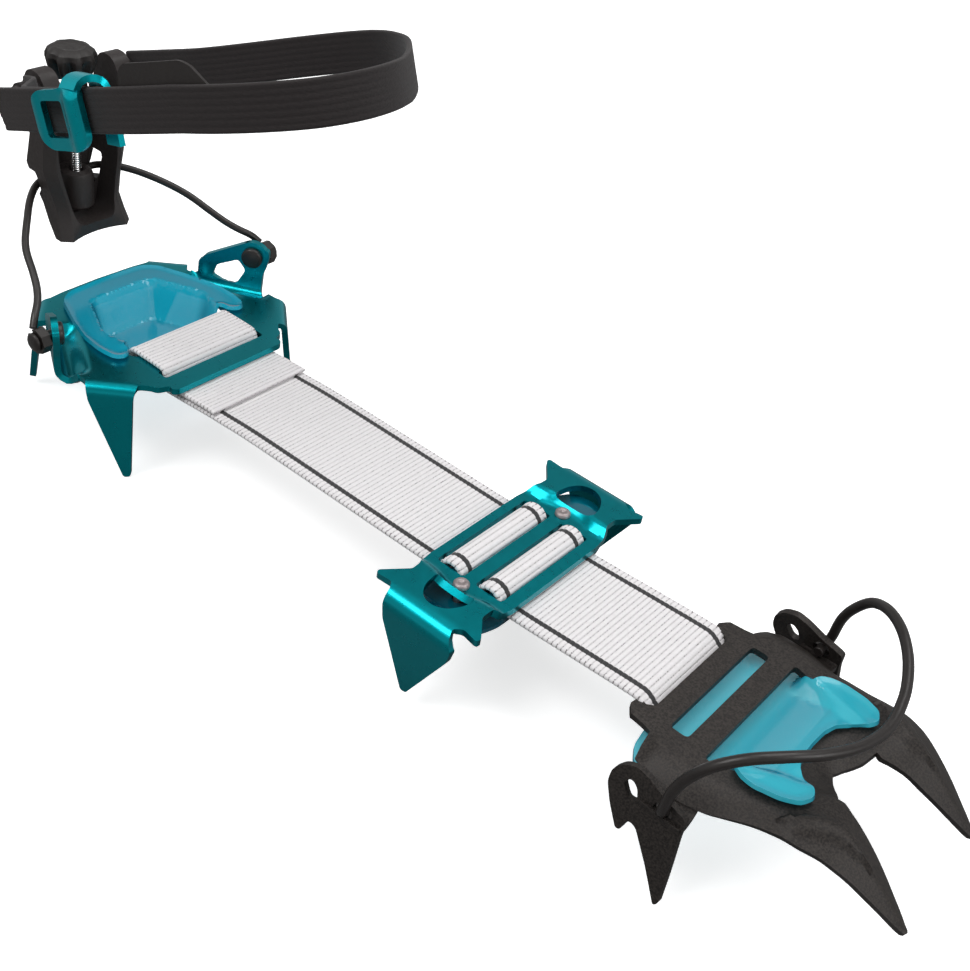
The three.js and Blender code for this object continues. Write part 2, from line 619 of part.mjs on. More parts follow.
// Faceted thumb knob.
function adjusterKnob() {
  const sides = 6;
  const lobes = Array.from({ length: sides * 2 }, (_, i) => {
    const angle = i * Math.PI / sides;
    const radius = i % 2 === 0 ? KNOB_RADIUS : KNOB_RADIUS * 0.84;
    return [radius * Math.cos(angle), radius * Math.sin(angle)];
  });
  const body = extrude(outline(lobes), 11.4).translate(0, 0, -1);
  const cone = new THREE.LatheGeometry([
    [0, -0.8], [5.4, -0.8], [8, 3.4], [8, 6.4], [5, 10.2], [0, 10.2],
  ].map(([r, z]) => new THREE.Vector2(r, z)), 24).rotateX(Math.PI / 2);
  const bore = cylinderAlong(Z, 2.75, -2, 1.4, new THREE.Vector3(0, 0, 0), 16);
  return cut(common(body, cone), bore).translate(LEVER_X, 0, KNOB_TOP - 10.2);
}

// ---------------------------------------------------------------- ankle strap
// The strap lies in a plane that rises towards the shin; s runs forward in it, y across it.
function inStrapPlane(shape, width, lift = 0) {
  const forward = new THREE.Vector3(Math.cos(WEB_TILT), 0, Math.sin(WEB_TILT));
  const normal = forward.clone().cross(Y);
  const origin = new THREE.Vector3(LUG_X, 0, LUG_Z).addScaledVector(normal, lift - width / 2);
  return place(extrude(shape, width), origin, forward, Y);
}

function smoothPath(points, count) {
  const curve = new THREE.SplineCurve(points.map(([x, y]) => new THREE.Vector2(x, y)));
  return curve.getSpacedPoints(count).map((p) => [p.x, p.y]);
}

function strapEye(side) {
  const ring = new THREE.Shape();
  ring.absarc(0, 0, 3.6, 0, 2 * Math.PI, false);
  const bore = new THREE.Path();
  bore.absarc(0, 0, 2.1, 0, 2 * Math.PI, true);
  ring.holes.push(bore);
  const low = side > 0 ? 16 : -19.6;
  return acrossY(ring, low, low + 3.6).translate(LUG_X, 0, LUG_Z);
}

function ankleStrap() {
  const loop = smoothPath([
    [3, 17.6], [18, 18], [34, 20.6], [47, 27], [60, 35.4], [74, 42.6], [88, 43.5], [102, 36.4], [114, 25.6],
    [124, 14], [131.6, 1.6], [134, -9], [132.4, -19], [126, -27], [116, -33.4], [102, -38.4], [86, -41.4],
    [70, -42.8], [50, -43], [30, -42.8], [4, -40.6],
  ], 52);
  return join(inStrapPlane(ribbon(loop, WEB_THICK), WEB_WIDTH), strapEye(1));
}

function ankleStrapShort() {
  const path = smoothPath([[3, -17.6], [12, -20.6], [22, -28.6], [34, -37], [48, -40.4], [66, -40.6]], 18);
  return join(inStrapPlane(ribbon(path, WEB_THICK), WEB_WIDTH), strapEye(-1));
}

function strapLabelTab() {
  const path = smoothPath([[76, -43.9], [92, -42], [108, -38.3]], 8);
  return inStrapPlane(ribbon(path, 1), 9.6, 2.6);
}

// Flat hook: a slotted frame outside both strap layers, bridged over the top to a leg behind them.
function hookBuckle() {
  const forward = new THREE.Vector3(Math.cos(WEB_TILT), 0, Math.sin(WEB_TILT));
  const normal = new THREE.Vector3(-Math.sin(WEB_TILT), 0, Math.cos(WEB_TILT));
  const layer = (shape, depth, y) => place(extrude(shape, depth), new THREE.Vector3(LUG_X, y, LUG_Z), forward, normal);
  const frame = rounded([[47, -9.4], [67, -9.4], [67, 9.4], [47, 9.4]], 4);
  frame.holes.push(rounded([[50.6, -6.2], [60.4, -6.2], [60.4, 6.2], [50.6, 6.2]], 1.6));
  const leg = rounded([[63, -10], [72, -10], [72, 10], [63, 10]], 1.6);
  const bridge = rounded([[63.4, 6.6], [68, 6.6], [68, 9.4], [63.4, 9.4]], 0.8);
  return join(layer(frame, 1.8, -44.4), layer(leg, 1.8, -37.6), layer(bridge, 8, -37.8));
}

// ---------------------------------------------------------------- assembly
const crampon = new THREE.Group();
crampon.name = 'crampon';

function add(name, geometry, material) {
  const mesh = new THREE.Mesh(geometry, material);
  mesh.name = name;
  crampon.add(mesh);
}

function addPair(name, geometry, material) {
  add(`${name}_left`, geometry, material);
  add(`${name}_right`, mirrored(geometry), material);
}

add('heel_frame', heelFrame(), TEAL);
add('heel_snow_tray', heelTray(), TPU);
addPair('heel_pivot_rivet', heelRivet(), BLACK_WIRE);
add('strap_heel_wrap', strapHeel(), WEBBING);
add('strap_rear_span', strapRearSpan(), WEBBING);
add('strap_mid_weave', strapMid(), WEBBING);
add('strap_front_span', strapFrontSpan(), WEBBING);
add('strap_toe_wrap', strapToe(), WEBBING);
add('mid_plate', midPlate(), TEAL);
add('mid_snow_plate', midUnderPlate(), TPU);
addPair('mid_rivet', midRivet(), RIVET_GREY);
add('front_frame', frontFrame(), STEEL);
add('front_snow_plate', frontBallPlate(), TPU);
add('toe_bail', toeBail(), BLACK_WIRE);
add('heel_cable', heelCable(), BLACK_WIRE);
addPair('cable_eye', cableEye(), BLACK_WIRE);
add('barrel_nut', barrelNut(), BLACK_PLASTIC);
add('lever_housing', leverHousing(), BLACK_PLASTIC);
add('adjuster_screw', adjusterScrew(), CHROME);
add('adjuster_knob', adjusterKnob(), BLACK_PLASTIC);
add('ankle_strap', ankleStrap(), DARK_WEBBING);
add('ankle_strap_short', ankleStrapShort(), DARK_WEBBING);
add('strap_label_tab', strapLabelTab(), DARK_WEBBING);
add('hook_buckle', hookBuckle(), TEAL);

export default crampon;
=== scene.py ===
"""Looks for a strap-linked crampon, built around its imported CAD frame.

Sizes in the part functions are in millimetres in the row frame: +X toe, +Y left, +Z up,
origin at the middle plate on the sole plane. Meshes are scaled to metres when they are made.
"""
import math

import bpy
import numpy as np
from mathutils import Matrix, Vector
from mathutils.geometry import delaunay_2d_cdt

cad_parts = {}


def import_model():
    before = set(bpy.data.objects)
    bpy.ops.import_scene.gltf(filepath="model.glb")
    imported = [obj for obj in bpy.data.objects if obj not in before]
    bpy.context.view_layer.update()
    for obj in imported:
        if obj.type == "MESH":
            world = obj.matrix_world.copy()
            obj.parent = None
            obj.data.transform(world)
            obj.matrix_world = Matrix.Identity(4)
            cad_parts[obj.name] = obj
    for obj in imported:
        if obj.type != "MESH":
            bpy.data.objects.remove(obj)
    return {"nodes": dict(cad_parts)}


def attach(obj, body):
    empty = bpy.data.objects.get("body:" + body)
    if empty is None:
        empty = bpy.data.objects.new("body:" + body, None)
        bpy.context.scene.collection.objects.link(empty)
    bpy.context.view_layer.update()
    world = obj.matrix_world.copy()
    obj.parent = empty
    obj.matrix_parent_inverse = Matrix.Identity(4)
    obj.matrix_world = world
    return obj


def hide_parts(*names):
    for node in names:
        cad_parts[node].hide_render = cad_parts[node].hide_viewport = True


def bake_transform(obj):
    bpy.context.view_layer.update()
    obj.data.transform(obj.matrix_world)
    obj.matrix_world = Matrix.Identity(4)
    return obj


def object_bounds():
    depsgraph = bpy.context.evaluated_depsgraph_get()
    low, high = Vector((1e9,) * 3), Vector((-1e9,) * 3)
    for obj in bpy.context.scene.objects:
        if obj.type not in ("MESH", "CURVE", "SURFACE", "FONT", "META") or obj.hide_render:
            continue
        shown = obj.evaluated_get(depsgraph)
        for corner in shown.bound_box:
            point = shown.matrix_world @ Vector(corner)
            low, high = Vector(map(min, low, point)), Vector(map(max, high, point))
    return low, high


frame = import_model()
cad_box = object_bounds()

MM = 0.001
SIDES = (1, -1)
SIDE_NAMES = ("left", "right")

# Driving dimensions shared with the CAD frame
STRAP_WIDTH = 38.0
STRAP_THICK = 1.5
ALU_THICK = 2.0
STEEL_THICK = 2.0
TPU_THICK = 1.3
PIVOT = Vector((-147.2, 38.7, 9.9))
EAR_ANGLE = math.radians(30)
EAR_SPLAY = math.radians(11)
BAIL_PIVOT = Vector((78, 0, -5.2))
LUG = Vector((-184, 0, 66))
LEVER_X = -188.0
CABLE_X = -192.6
CABLE_Z = 32.8
WEB_TILT = math.radians(20.3)
WEB_WIDTH = 11.6


# ------------------------------------------------------------------ small maths
def smoothstep(t):
    t = np.clip(t, 0, 1)
    return t * t * (3 - 2 * t)


def mix(a, b, t):
    return a + (b - a) * t


def catmull(points, step):
    """Points every `step` along a smooth curve through the given points."""
    pts = [np.array(p, float) for p in points]
    pts = [2 * pts[0] - pts[1]] + pts + [2 * pts[-1] - pts[-2]]
    dense = []
    for p0, p1, p2, p3 in zip(pts, pts[1:], pts[2:], pts[3:]):
        for t in np.linspace(0, 1, 24, endpoint=False):
            a = 2 * p1
            b = (p2 - p0) * t
            c = (2 * p0 - 5 * p1 + 4 * p2 - p3) * t ** 2
            d = (3 * p1 - p0 - 3 * p2 + p3) * t ** 3
            dense.append(0.5 * (a + b + c + d))
    dense.append(pts[-2])
    return resample(np.array(dense), step)


def resample(points, step):
    lengths = np.concatenate([[0], np.cumsum(np.linalg.norm(np.diff(points, axis=0), axis=1))])
    count = max(int(round(lengths[-1] / step)), 2)
    at = np.linspace(0, lengths[-1], count + 1)
    return np.stack([np.interp(at, lengths, points[:, k]) for k in range(points.shape[1])], axis=1)


def directions(path):
    """The unit tangent at each point of a path."""
    tangents = np.gradient(path, axis=0)
    return tangents / np.linalg.norm(tangents, axis=1, keepdims=True)


def rounded(points, radius, steps=5):
    """A polygon with its corners replaced by quadratic arcs."""
    corners = [np.array(p, float) for p in points]
    out = []
    for before, corner, after in zip(corners[-1:] + corners[:-1], corners, corners[1:] + corners[:1]):
        back, on = before - corner, after - corner
        reach = min(radius, np.linalg.norm(back) / 2.1, np.linalg.norm(on) / 2.1)
        start = corner + back / np.linalg.norm(back) * reach
        end = corner + on / np.linalg.norm(on) * reach
        for t in np.linspace(0, 1, steps + 1):
            out.append(start * (1 - t) ** 2 + 2 * corner * t * (1 - t) + end * t ** 2)
    return np.array(out)


def symmetric(half):
    """A closed outline from its half with y >= 0."""
    return list(half) + [(x, -y) for x, y in reversed(half) if y > 1e-6]


def symmetric_rows(half):
    """A closed outline in y and z from (z, half width) pairs, listed from the top down."""
    return [(-w, z) for z, w in half] + [(w, z) for z, w in reversed(half)]


def circle(cx, cy, radius, count=24):
    turn = [2 * math.pi * i / count for i in range(count)]
    return np.array([(cx + radius * math.cos(a), cy + radius * math.sin(a)) for a in turn])


def inside(points, polygon):
    x, y = points[:, 0], points[:, 1]
    hit = np.zeros(len(points), bool)
    for (x0, y0), (x1, y1) in zip(polygon, np.roll(polygon, -1, axis=0)):
        crosses = (y0 > y) != (y1 > y)
        with np.errstate(divide="ignore", invalid="ignore"):
            hit ^= crosses & (x < (x1 - x0) * (y - y0) / (y1 - y0) + x0)
    return hit


def edge_distance(points, polygon):
    """Distance from each point to the nearest side of a polygon."""
    best = np.full(len(points), 1e9)
    for a, b in zip(polygon, np.roll(polygon, -1, axis=0)):
        ab = b - a
        t = np.clip(((points - a) @ ab) / max(ab @ ab, 1e-12), 0, 1)
        best = np.minimum(best, np.linalg.norm(points - (a + t[:, None] * ab), axis=1))
    return best


def signed_inside(points, polygon):
    """Depth inside a polygon: positive inside, negative outside."""
    return edge_distance(points, polygon) * np.where(inside(points, polygon), 1, -1)


# ------------------------------------------------------------------ meshes
def make_object(name, verts, faces, material, sharp=32, slots=None, face_slots=None):
    mesh = bpy.data.meshes.new(name)
    mesh.from_pydata([tuple(c * MM for c in v) for v in verts], [], [tuple(f) for f in faces])
    mesh.validate()
    for one in slots or [material]:
        mesh.materials.append(one)
    if face_slots is not None:
        mesh.polygons.foreach_set("material_index", np.array(face_slots, np.int32))
    mesh.polygons.foreach_set("use_smooth", [True] * len(mesh.polygons))
    mesh.set_sharp_from_angle(angle=math.radians(sharp))
    mesh.update()
    obj = bpy.data.objects.new(name, mesh)
    bpy.context.scene.collection.objects.link(obj)
    return obj


def bevel(obj, width, segments=2, angle=40):
    mod = obj.modifiers.new("bevel", "BEVEL")
    mod.width = width * MM
    mod.segments = segments
    mod.limit_method = "ANGLE"
    mod.angle_limit = math.radians(angle)
    mod.harden_normals = True
    return obj


def triangulate(outline, holes, spacing):
    """Triangles over an outline with holes, with points inside at an even spacing."""
    rings = [densify(ring, spacing) for ring in [outline] + list(holes)]
    low, high = rings[0].min(0), rings[0].max(0)
    grid = []
    for j, y in enumerate(np.arange(low[1], high[1], spacing * 0.87)):
        for x in np.arange(low[0] + (j % 2) * spacing / 2, high[0], spacing):
            grid.append((x, y))
    grid = np.array(grid)
    keep = inside(grid, rings[0]) & (edge_distance(grid, rings[0]) > 0.45 * spacing)
    for hole in rings[1:]:
        keep &= ~inside(grid, hole) & (edge_distance(grid, hole) > 0.45 * spacing)
    points = np.vstack(rings + [grid[keep]])
    edges = []
    start = 0
    for ring in rings:
        n = len(ring)
        edges += [(start + i, start + (i + 1) % n) for i in range(n)]
        start += n
    out = delaunay_2d_cdt([Vector(p) for p in points], edges, [], 0, 1e-6)
    flat = np.array([(v.x, v.y) for v in out[0]])
    tris = np.array([f for f in out[2]])
    centres = flat[tris].mean(axis=1)
    good = inside(centres, rings[0])
    for hole in rings[1:]:
        good &= ~inside(centres, hole)
    sides = flat[tris] - flat[np.roll(tris, 1, axis=1)]
    good &= np.linalg.norm(sides, axis=2).max(axis=1) < 4 * spacing
    return flat, tris[good]


def densify(ring, spacing):
    out = []
    for a, b in zip(ring, np.roll(ring, -1, axis=0)):
        n = max(int(round(np.linalg.norm(b - a) / spacing)), 1)
        out += [a + (b - a) * i / n for i in range(n)]
    clean = [out[0]]
    for p in out[1:]:
        if np.linalg.norm(p - clean[-1]) > 0.02:
            clean.append(p)
    return np.array(clean)


def thicken(points, tris, thickness, centred=False):
    """A closed shell from a surface: the surface is its upper face."""
    a, b, c = points[tris[:, 0]], points[tris[:, 1]], points[tris[:, 2]]
    face_normals = np.cross(b - a, c - a)
    normals = np.zeros_like(points)
    for k in range(3):
        np.add.at(normals, tris[:, k], face_normals)
    normals /= np.maximum(np.linalg.norm(normals, axis=1, keepdims=True), 1e-12)
    up = points + normals * (thickness / 2 if centred else 0)
    down = up - normals * thickness
    n = len(points)
    faces = [tuple(t) for t in tris] + [(t[2] + n, t[1] + n, t[0] + n) for t in tris]
    count = {}
    for t in tris:
        for i, j in ((t[0], t[1]), (t[1], t[2]), (t[2], t[0])):
            count[(i, j)] = 1
    for i, j in count:
        if (j, i) not in count:
            faces.append((j, i, i + n, j + n))
    return np.vstack([up, down]), faces


def sheet(outline, holes, form, thickness, spacing=1.2, centred=False):
    """Formed sheet metal: a flat blank, then `form` bends it into place."""
    flat, tris = triangulate(np.array(outline, float), [np.array(h, float) for h in holes], spacing)
    shaped = form(flat)
    return thicken(shaped, tris, thickness, centred)


def mirror_y(part):
    verts, faces = part
    return verts * np.array([1, -1, 1]), [tuple(reversed(f)) for f in faces]


def merge(*parts):
    verts, faces, base = [], [], 0
    for v, f in parts:
        verts.append(v)
        faces += [tuple(i + base for i in one) for one in f]
        base += len(v)
    return np.vstack(verts), faces


def frames_along(path):
    """Side and up vectors carried along a path without twisting."""
    tangents = directions(path)
    up = np.array([0, 0, 1.0]) if abs(tangents[0][2]) < 0.9 else np.array([0, 1.0, 0])
    sides, ups = [], []
    for t in tangents:
        side = np.cross(up, t)
        side /= np.linalg.norm(side)
        up = np.cross(t, side)
        sides.append(side)
        ups.append(up)
    return np.array(sides), np.array(ups)


def ring_faces(rows, count, closed=False, flip=False):
    """Faces round a stack of rings, ended by flat caps or, when closed, joined end to end."""
    faces = []
    for i in range(rows if closed else rows - 1):
        low, high = i * count, (i + 1) % rows * count
        for k in range(count):
            j = (k + 1) % count
            face = (low + k, low + j, high + j, high + k)
            faces.append((face[0], *face[:0:-1]) if flip else face)
    if not closed:
        caps = [range(count)[::-1], range((rows - 1) * count, rows * count)]
        faces += [tuple(cap[::-1] if flip else cap) for cap in caps]
    return faces


def tube(path, radius, sides):
    """A round bar along a path."""
    side, up = frames_along(path)
    verts = []
    for p, s, u in zip(path, side, up):
        for k in range(sides):
            a = 2 * math.pi * k / sides
            verts.append(p + radius * (math.cos(a) * s + math.sin(a) * u))
    return np.array(verts), ring_faces(len(path), sides)


def lathe(profile, count=40, centre=(0, 0), flute=None, closed=False):
    """A turned shape about Z from (radius, z) pairs; `flute` scales the radius by angle and z.

    A closed profile turns into a ring with a bore."""
    verts = []
    for r, z in profile:
        for k in range(count):
            a = 2 * math.pi * k / count
            scale = flute(a, z) if flute else 1
            verts.append((centre[0] + r * scale * math.cos(a), centre[1] + r * scale * math.sin(a), z))
    return np.array(verts, float), ring_faces(len(profile), count, closed)


def loft(sections):
    """A closed solid through rings with matching corners."""
    verts = np.vstack([np.array(s, float) for s in sections])
    return verts, ring_faces(len(sections), len(sections[0]))


def prism(outline, low, high):
    """An upright solid over an outline in x and y."""
    return loft([[(x, y, z) for x, y in outline] for z in (low, high)])


def transformed(part, matrix):
    verts, faces = part
    m = np.array(matrix)
    return verts @ m[:3, :3].T + m[:3, 3], faces


def boolean(obj, part, operation="DIFFERENCE"):
    """Applies a cut or a join to an object at once, and drops the tool."""
    tool = make_object("tool", part[0], part[1], obj.data.materials[0])
    mod = obj.modifiers.new("cut", "BOOLEAN")
    mod.operation = operation
    mod.solver = "EXACT"
    mod.object = tool
    bpy.context.view_layer.update()
    done = bpy.data.meshes.new_from_object(obj.evaluated_get(bpy.context.evaluated_depsgraph_get()))
    obj.modifiers.remove(mod)
    obj.data = done
    bpy.data.objects.remove(tool)
    done.polygons.foreach_set("use_smooth", [True] * len(done.polygons))
    done.set_sharp_from_angle(angle=math.radians(32))
    return obj


# ------------------------------------------------------------------ materials
class Nodes:
    """Shorthand for building one material's node tree."""

    def __init__(self, name):
        self.material = bpy.data.materials.new(name)
        self.material.use_nodes = True
        self.tree = self.material.node_tree
        self.shader = self.tree.nodes["Principled BSDF"]
        self.output = self.tree.nodes["Material Output"]
        self.place = self.add("ShaderNodeTexCoord").outputs["Object"]

    def add(self, kind, **values):
        node = self.tree.nodes.new(kind)
        for key, value in values.items():
            setattr(node, key, value)
        return node

    def put(self, socket, value):
        if hasattr(value, "is_output"):
            self.tree.links.new(value, socket)
        else:
            socket.default_value = value

    def set(self, **inputs):
        for key, value in inputs.items():
            self.put(self.shader.inputs[key.replace("_", " ")], value)

    def mapping(self, scale):
        node = self.add("ShaderNodeMapping")
        self.put(node.inputs["Vector"], self.place)
        node.inputs["Scale"].default_value = scale
        return node.outputs["Vector"]

    def noise(self, scale, detail=2.0, stretch=(1, 1, 1)):
        node = self.add("ShaderNodeTexNoise")
        self.put(node.inputs["Vector"], self.mapping(stretch))
        node.inputs["Scale"].default_value = scale
        node.inputs["Detail"].default_value = detail
        return node.outputs["Fac"]

    def ramp(self, value, low, high, low_out=0.0, high_out=1.0):
        node = self.add("ShaderNodeMapRange")
        self.put(node.inputs["Value"], value)
        for key, number in (("From Min", low), ("From Max", high), ("To Min", low_out), ("To Max", high_out)):
            node.inputs[key].default_value = number
        return node.outputs["Result"]

    def math(self, operation, a, b=0.0):
        node = self.add("ShaderNodeMath", operation=operation)
        self.put(node.inputs[0], a)
        self.put(node.inputs[1], b)
        return node.outputs[0]

    def blend(self, factor, a, b):
        node = self.add("ShaderNodeMix", data_type="RGBA")
        self.put(node.inputs["Factor"], factor)
        self.put(node.inputs["A"], a if hasattr(a, "is_output") else (*a, 1))
        self.put(node.inputs["B"], b if hasattr(b, "is_output") else (*b, 1))
        return node.outputs["Result"]

    def bump(self, height, distance, strength=1.0):
        node = self.add("ShaderNodeBump")
        self.put(node.inputs["Height"], height)
        node.inputs["Distance"].default_value = distance
        node.inputs["Strength"].default_value = strength
        self.put(self.shader.inputs["Normal"], node.outputs["Normal"])

    def axis(self, letter):
        node = self.add("ShaderNodeSeparateXYZ")
        self.put(node.inputs[0], self.place)
        return node.outputs[letter]


def anodised(name, gain=1.0):
    n = Nodes(name)
    cloud = n.noise(60, 3)
    # gain scales both tones; a gain above 1 paints light into the colour
    low, high = ([c * gain for c in tone] for tone in ((0.0, 0.29, 0.34), (0.0, 0.38, 0.44)))
    base = n.blend(cloud, low, high)
    n.set(Base_Color=base, Metallic=1.0)
    n.set(Roughness=n.ramp(n.noise(500, 2), 0.3, 0.7, 0.27, 0.32))
    n.set(Coat_Weight=0.15, Coat_Roughness=0.15)
    return n.material


def soft_plastic(name, pale, deep, clear, solid, glow=0.0):
    """Tinted soft plastic that turns deeper and less clear where it is seen at a slant, with a painted glow,
    an emission in its pale tint that is weaker at a slant, standing in for light passing through it.
    """
    n = Nodes(name)
    facing = n.add("ShaderNodeLayerWeight").outputs["Facing"]
    slant = n.ramp(facing, 0.22, 0.7)
    cloud = n.noise(45, 2)
    n.set(Base_Color=n.blend(slant, n.blend(cloud, pale, tuple(c * 1.15 for c in pale)), deep))
    n.set(Roughness=0.16, IOR=1.5, Coat_Weight=0.5, Coat_Roughness=0.08)
    n.set(Alpha=n.ramp(slant, 0.0, 1.0, clear, solid))
    # painted glow: emission in the pale tint stands in for light passing through the plastic
    n.set(Emission_Color=(*pale, 1), Emission_Strength=n.ramp(slant, 0.0, 1.0, glow, glow / 3))
    n.bump(n.noise(500, 2), 0.00003, 0.3)
    return n.material


def dark_steel():
    n = Nodes("dark_steel")
    grain = n.noise(1900, 2)
    patch = n.noise(140, 3)
    speck = n.blend(n.ramp(grain, 0.36, 0.66), (0.012, 0.0095, 0.0085), (0.05, 0.042, 0.037))
    n.set(Base_Color=n.blend(n.ramp(patch, 0.2, 0.9, 0.0, 0.35), speck, (0.026, 0.022, 0.02)))
    n.set(Metallic=0.35, Roughness=n.ramp(grain, 0.3, 0.7, 0.42, 0.6))
    n.bump(grain, 0.0001, 0.5)
    return n.material


def black_coat(name, color=(0.013, 0.0105, 0.0095), rough=0.36):
    n = Nodes(name)
    n.set(Base_Color=n.blend(n.noise(300, 3), color, tuple(c * 1.9 for c in color)))
    n.set(Metallic=0.2, Roughness=n.ramp(n.noise(800, 2), 0.3, 0.7, rough - 0.05, rough + 0.1))
    n.set(Coat_Weight=0.25, Coat_Roughness=0.3)
    n.bump(n.noise(1500, 2), 0.00006, 0.3)
    return n.material


def moulded(name, color=(0.026, 0.021, 0.02)):
    n = Nodes(name)
    n.set(Base_Color=n.blend(n.noise(120, 3), color, tuple(c * 1.35 for c in color)))
    n.set(Roughness=n.ramp(n.noise(900, 2), 0.3, 0.7, 0.42, 0.58))
    n.bump(n.noise(2400, 3), 0.00008, 0.5)
    return n.material


def polished():
    n = Nodes("bright_screw")
    rings = n.noise(1200, 1, (0.02, 0.02, 1))
    n.set(Base_Color=(0.82, 0.82, 0.82, 1), Metallic=1.0, Roughness=n.ramp(rings, 0.3, 0.7, 0.08, 0.2))
    return n.material


def rivet_grey():
    n = Nodes("grey_rivet")
    n.set(Base_Color=n.blend(n.noise(700, 3), (0.27, 0.23, 0.23), (0.5, 0.44, 0.44)), Metallic=0.7)
    n.set(Roughness=0.45)
    n.bump(n.noise(1500, 2), 0.0001, 0.4)
    return n.material


def white_webbing(name, stripes):
    """Ribbed white webbing with dark flecks and, on its face, two dark warp stripes; painted shade darkens
    the grooves between the ribs.
    """
    n = Nodes(name)
    groove = n.add("ShaderNodeAttribute", attribute_name="groove").outputs["Fac"]
    tone = n.blend(n.noise(2400, 2, (1, 0.4, 1)), (0.78, 0.755, 0.765), (0.93, 0.91, 0.92))
    # painted shade: the colour goes towards grey in the grooves between the ribs, following the groove
    # attribute
    shaded = n.blend(n.math("MULTIPLY", groove, 0.5), tone, (0.34, 0.32, 0.33))
    near_edge = n.ramp(n.math("ABSOLUTE", n.axis("Y")), 0.0176, 0.0182, 0.32, 0.72)
    chance = n.math("MULTIPLY", n.noise(2300, 1, (1, 0.7, 1)), n.math("ADD", groove, near_edge))
    base = n.blend(n.ramp(chance, 0.66, 0.8, 0.0, 0.85), shaded, (0.13, 0.12, 0.12))
    if stripes:
        off = n.math("ABSOLUTE", n.math("SUBTRACT", n.math("ABSOLUTE", n.axis("Y")), 0.0152))
        edge = n.math("ADD", off, n.math("MULTIPLY", n.noise(1800, 1), 0.00012))
        base = n.blend(n.ramp(edge, 0.00078, 0.0009, 1.0, 0.0), base, (0.035, 0.034, 0.036))
    n.set(Base_Color=base, Roughness=0.92, Sheen_Weight=0.25, Sheen_Roughness=0.5)
    n.bump(n.math("ADD", n.noise(3200, 2, (0.6, 1, 1)), n.noise(1400, 2)), 0.00012, 0.6)
    return n.material


def dark_webbing():
    n = Nodes("dark_webbing")
    weave = n.noise(2600, 2, (0.35, 0.35, 1))
    n.set(Base_Color=n.blend(weave, (0.010, 0.0072, 0.0072), (0.024, 0.018, 0.0185)), Roughness=0.85)
    n.set(Sheen_Weight=0.12, Sheen_Roughness=0.5)
    n.bump(weave, 0.00015, 0.7)
    return n.material


TEAL = anodised("teal_anodised")
# painted light: the same teal finish made 1.6 times lighter, for the upright buckle that catches little light
PAINTED_LIGHT_TEAL = anodised("teal_anodised_painted_light", 1.6)
# the last number of each soft plastic is its painted glow
TPU = soft_plastic("clear_cyan_tpu", (0.04, 0.48, 0.59), (0.0, 0.2, 0.32), 0.74, 0.96, 0.16)
TRAY = soft_plastic("clear_tray_tpu", (0.006, 0.29, 0.4), (0.0, 0.075, 0.14), 0.84, 0.99, 0.45)
UNDER = soft_plastic("deep_under_tpu", (0.0, 0.14, 0.2), (0.0, 0.06, 0.1), 0.9, 1.0)
STEEL = dark_steel()
BLACK = black_coat("black_wire")
PLASTIC = moulded("black_plastic")
KNOB = moulded("knob_plastic", (0.018, 0.015, 0.014))
SCREW = polished()
RIVET = rivet_grey()
STRIPED = white_webbing("white_webbing", True)
PLAIN_WHITE = white_webbing("white_webbing_back", False)
DARK_WEB = dark_webbing()


def keep_node(node, material, width=0.25):
    """A CAD node that stays, with a finish and softened edges."""
    obj = frame["nodes"][node]
    obj.data.materials.clear()
    obj.data.materials.append(material)
    bevel(obj, width, 2, 35)


def place_piece(obj, body, slot, *nodes):
    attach(obj, body)
    if nodes:
        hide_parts(*nodes)
    return obj


# ------------------------------------------------------------------ folding
def bend_line(start, end):
    """A bend's start, its direction, and the direction away from the middle of the part."""
    a, b = np.array(start, float), np.array(end, float)
    along = (b - a) / np.linalg.norm(b - a)
    outward = np.array([along[1], -along[0]])
    return a, along, outward if outward[1] >= 0 else -outward


def past(points, start, end, reach):
    """Which points lie beyond a bend line, within its stretch."""
    a, along, outward = bend_line(start, end)
    s, d = (points - a) @ along, (points - a) @ outward
    return (d > 0) & (s > reach[0]) & (s < reach[1])


def fold(points, heights, start, end, angle, radius):
    """Bends what lies past the line from start to end, turning down for a positive angle.

    `points` are blank positions and `heights` the sheet's height there; both sides of the
    blank are handled as y >= 0. Returns positions in space."""
    a, along, outward = bend_line(start, end)
    s, d = (points - a) @ along, (points - a) @ outward
    hit = d > 0
    turn = np.clip(d / radius, 0, abs(angle))
    rest = np.maximum(d - radius * abs(angle), 0)
    run = radius * np.sin(turn) + rest * math.cos(angle)
    drop = radius * (1 - np.cos(turn)) + rest * abs(math.sin(angle))
    out = np.column_stack([points, heights])
    moved = out.copy()
    moved[:, :2] = a + np.outer(s, along) + np.outer(run, outward)
    moved[:, 2] = heights - math.copysign(1, angle) * drop
    out[hit] = moved[hit]
    return out


# ------------------------------------------------------------------ heel frame
FRONT_SPIKE = ((-123.4, 28.7), (-134.4, 38.5))
REAR_SPIKE = ((-168.8, 29.0), (-178.0, 20.2))
EAR_ROOT = 2.6
EAR_DIP = 3.4


EAR_ALONG = np.array([math.cos(EAR_ANGLE), math.sin(EAR_ANGLE)])
EAR_OUT = np.array([-EAR_ALONG[1], EAR_ALONG[0]])
EAR_PIVOT = np.array([PIVOT.x, PIVOT.y])


def ear_blank(s, z, side=1):
    """Where a point of an ear, s along it and z up it, lies on the flat blank."""
    p = EAR_PIVOT + EAR_ALONG * s + EAR_OUT * (z + EAR_DIP + EAR_ROOT * (math.pi / 2 - 2))
    return (p[0], p[1] * side)


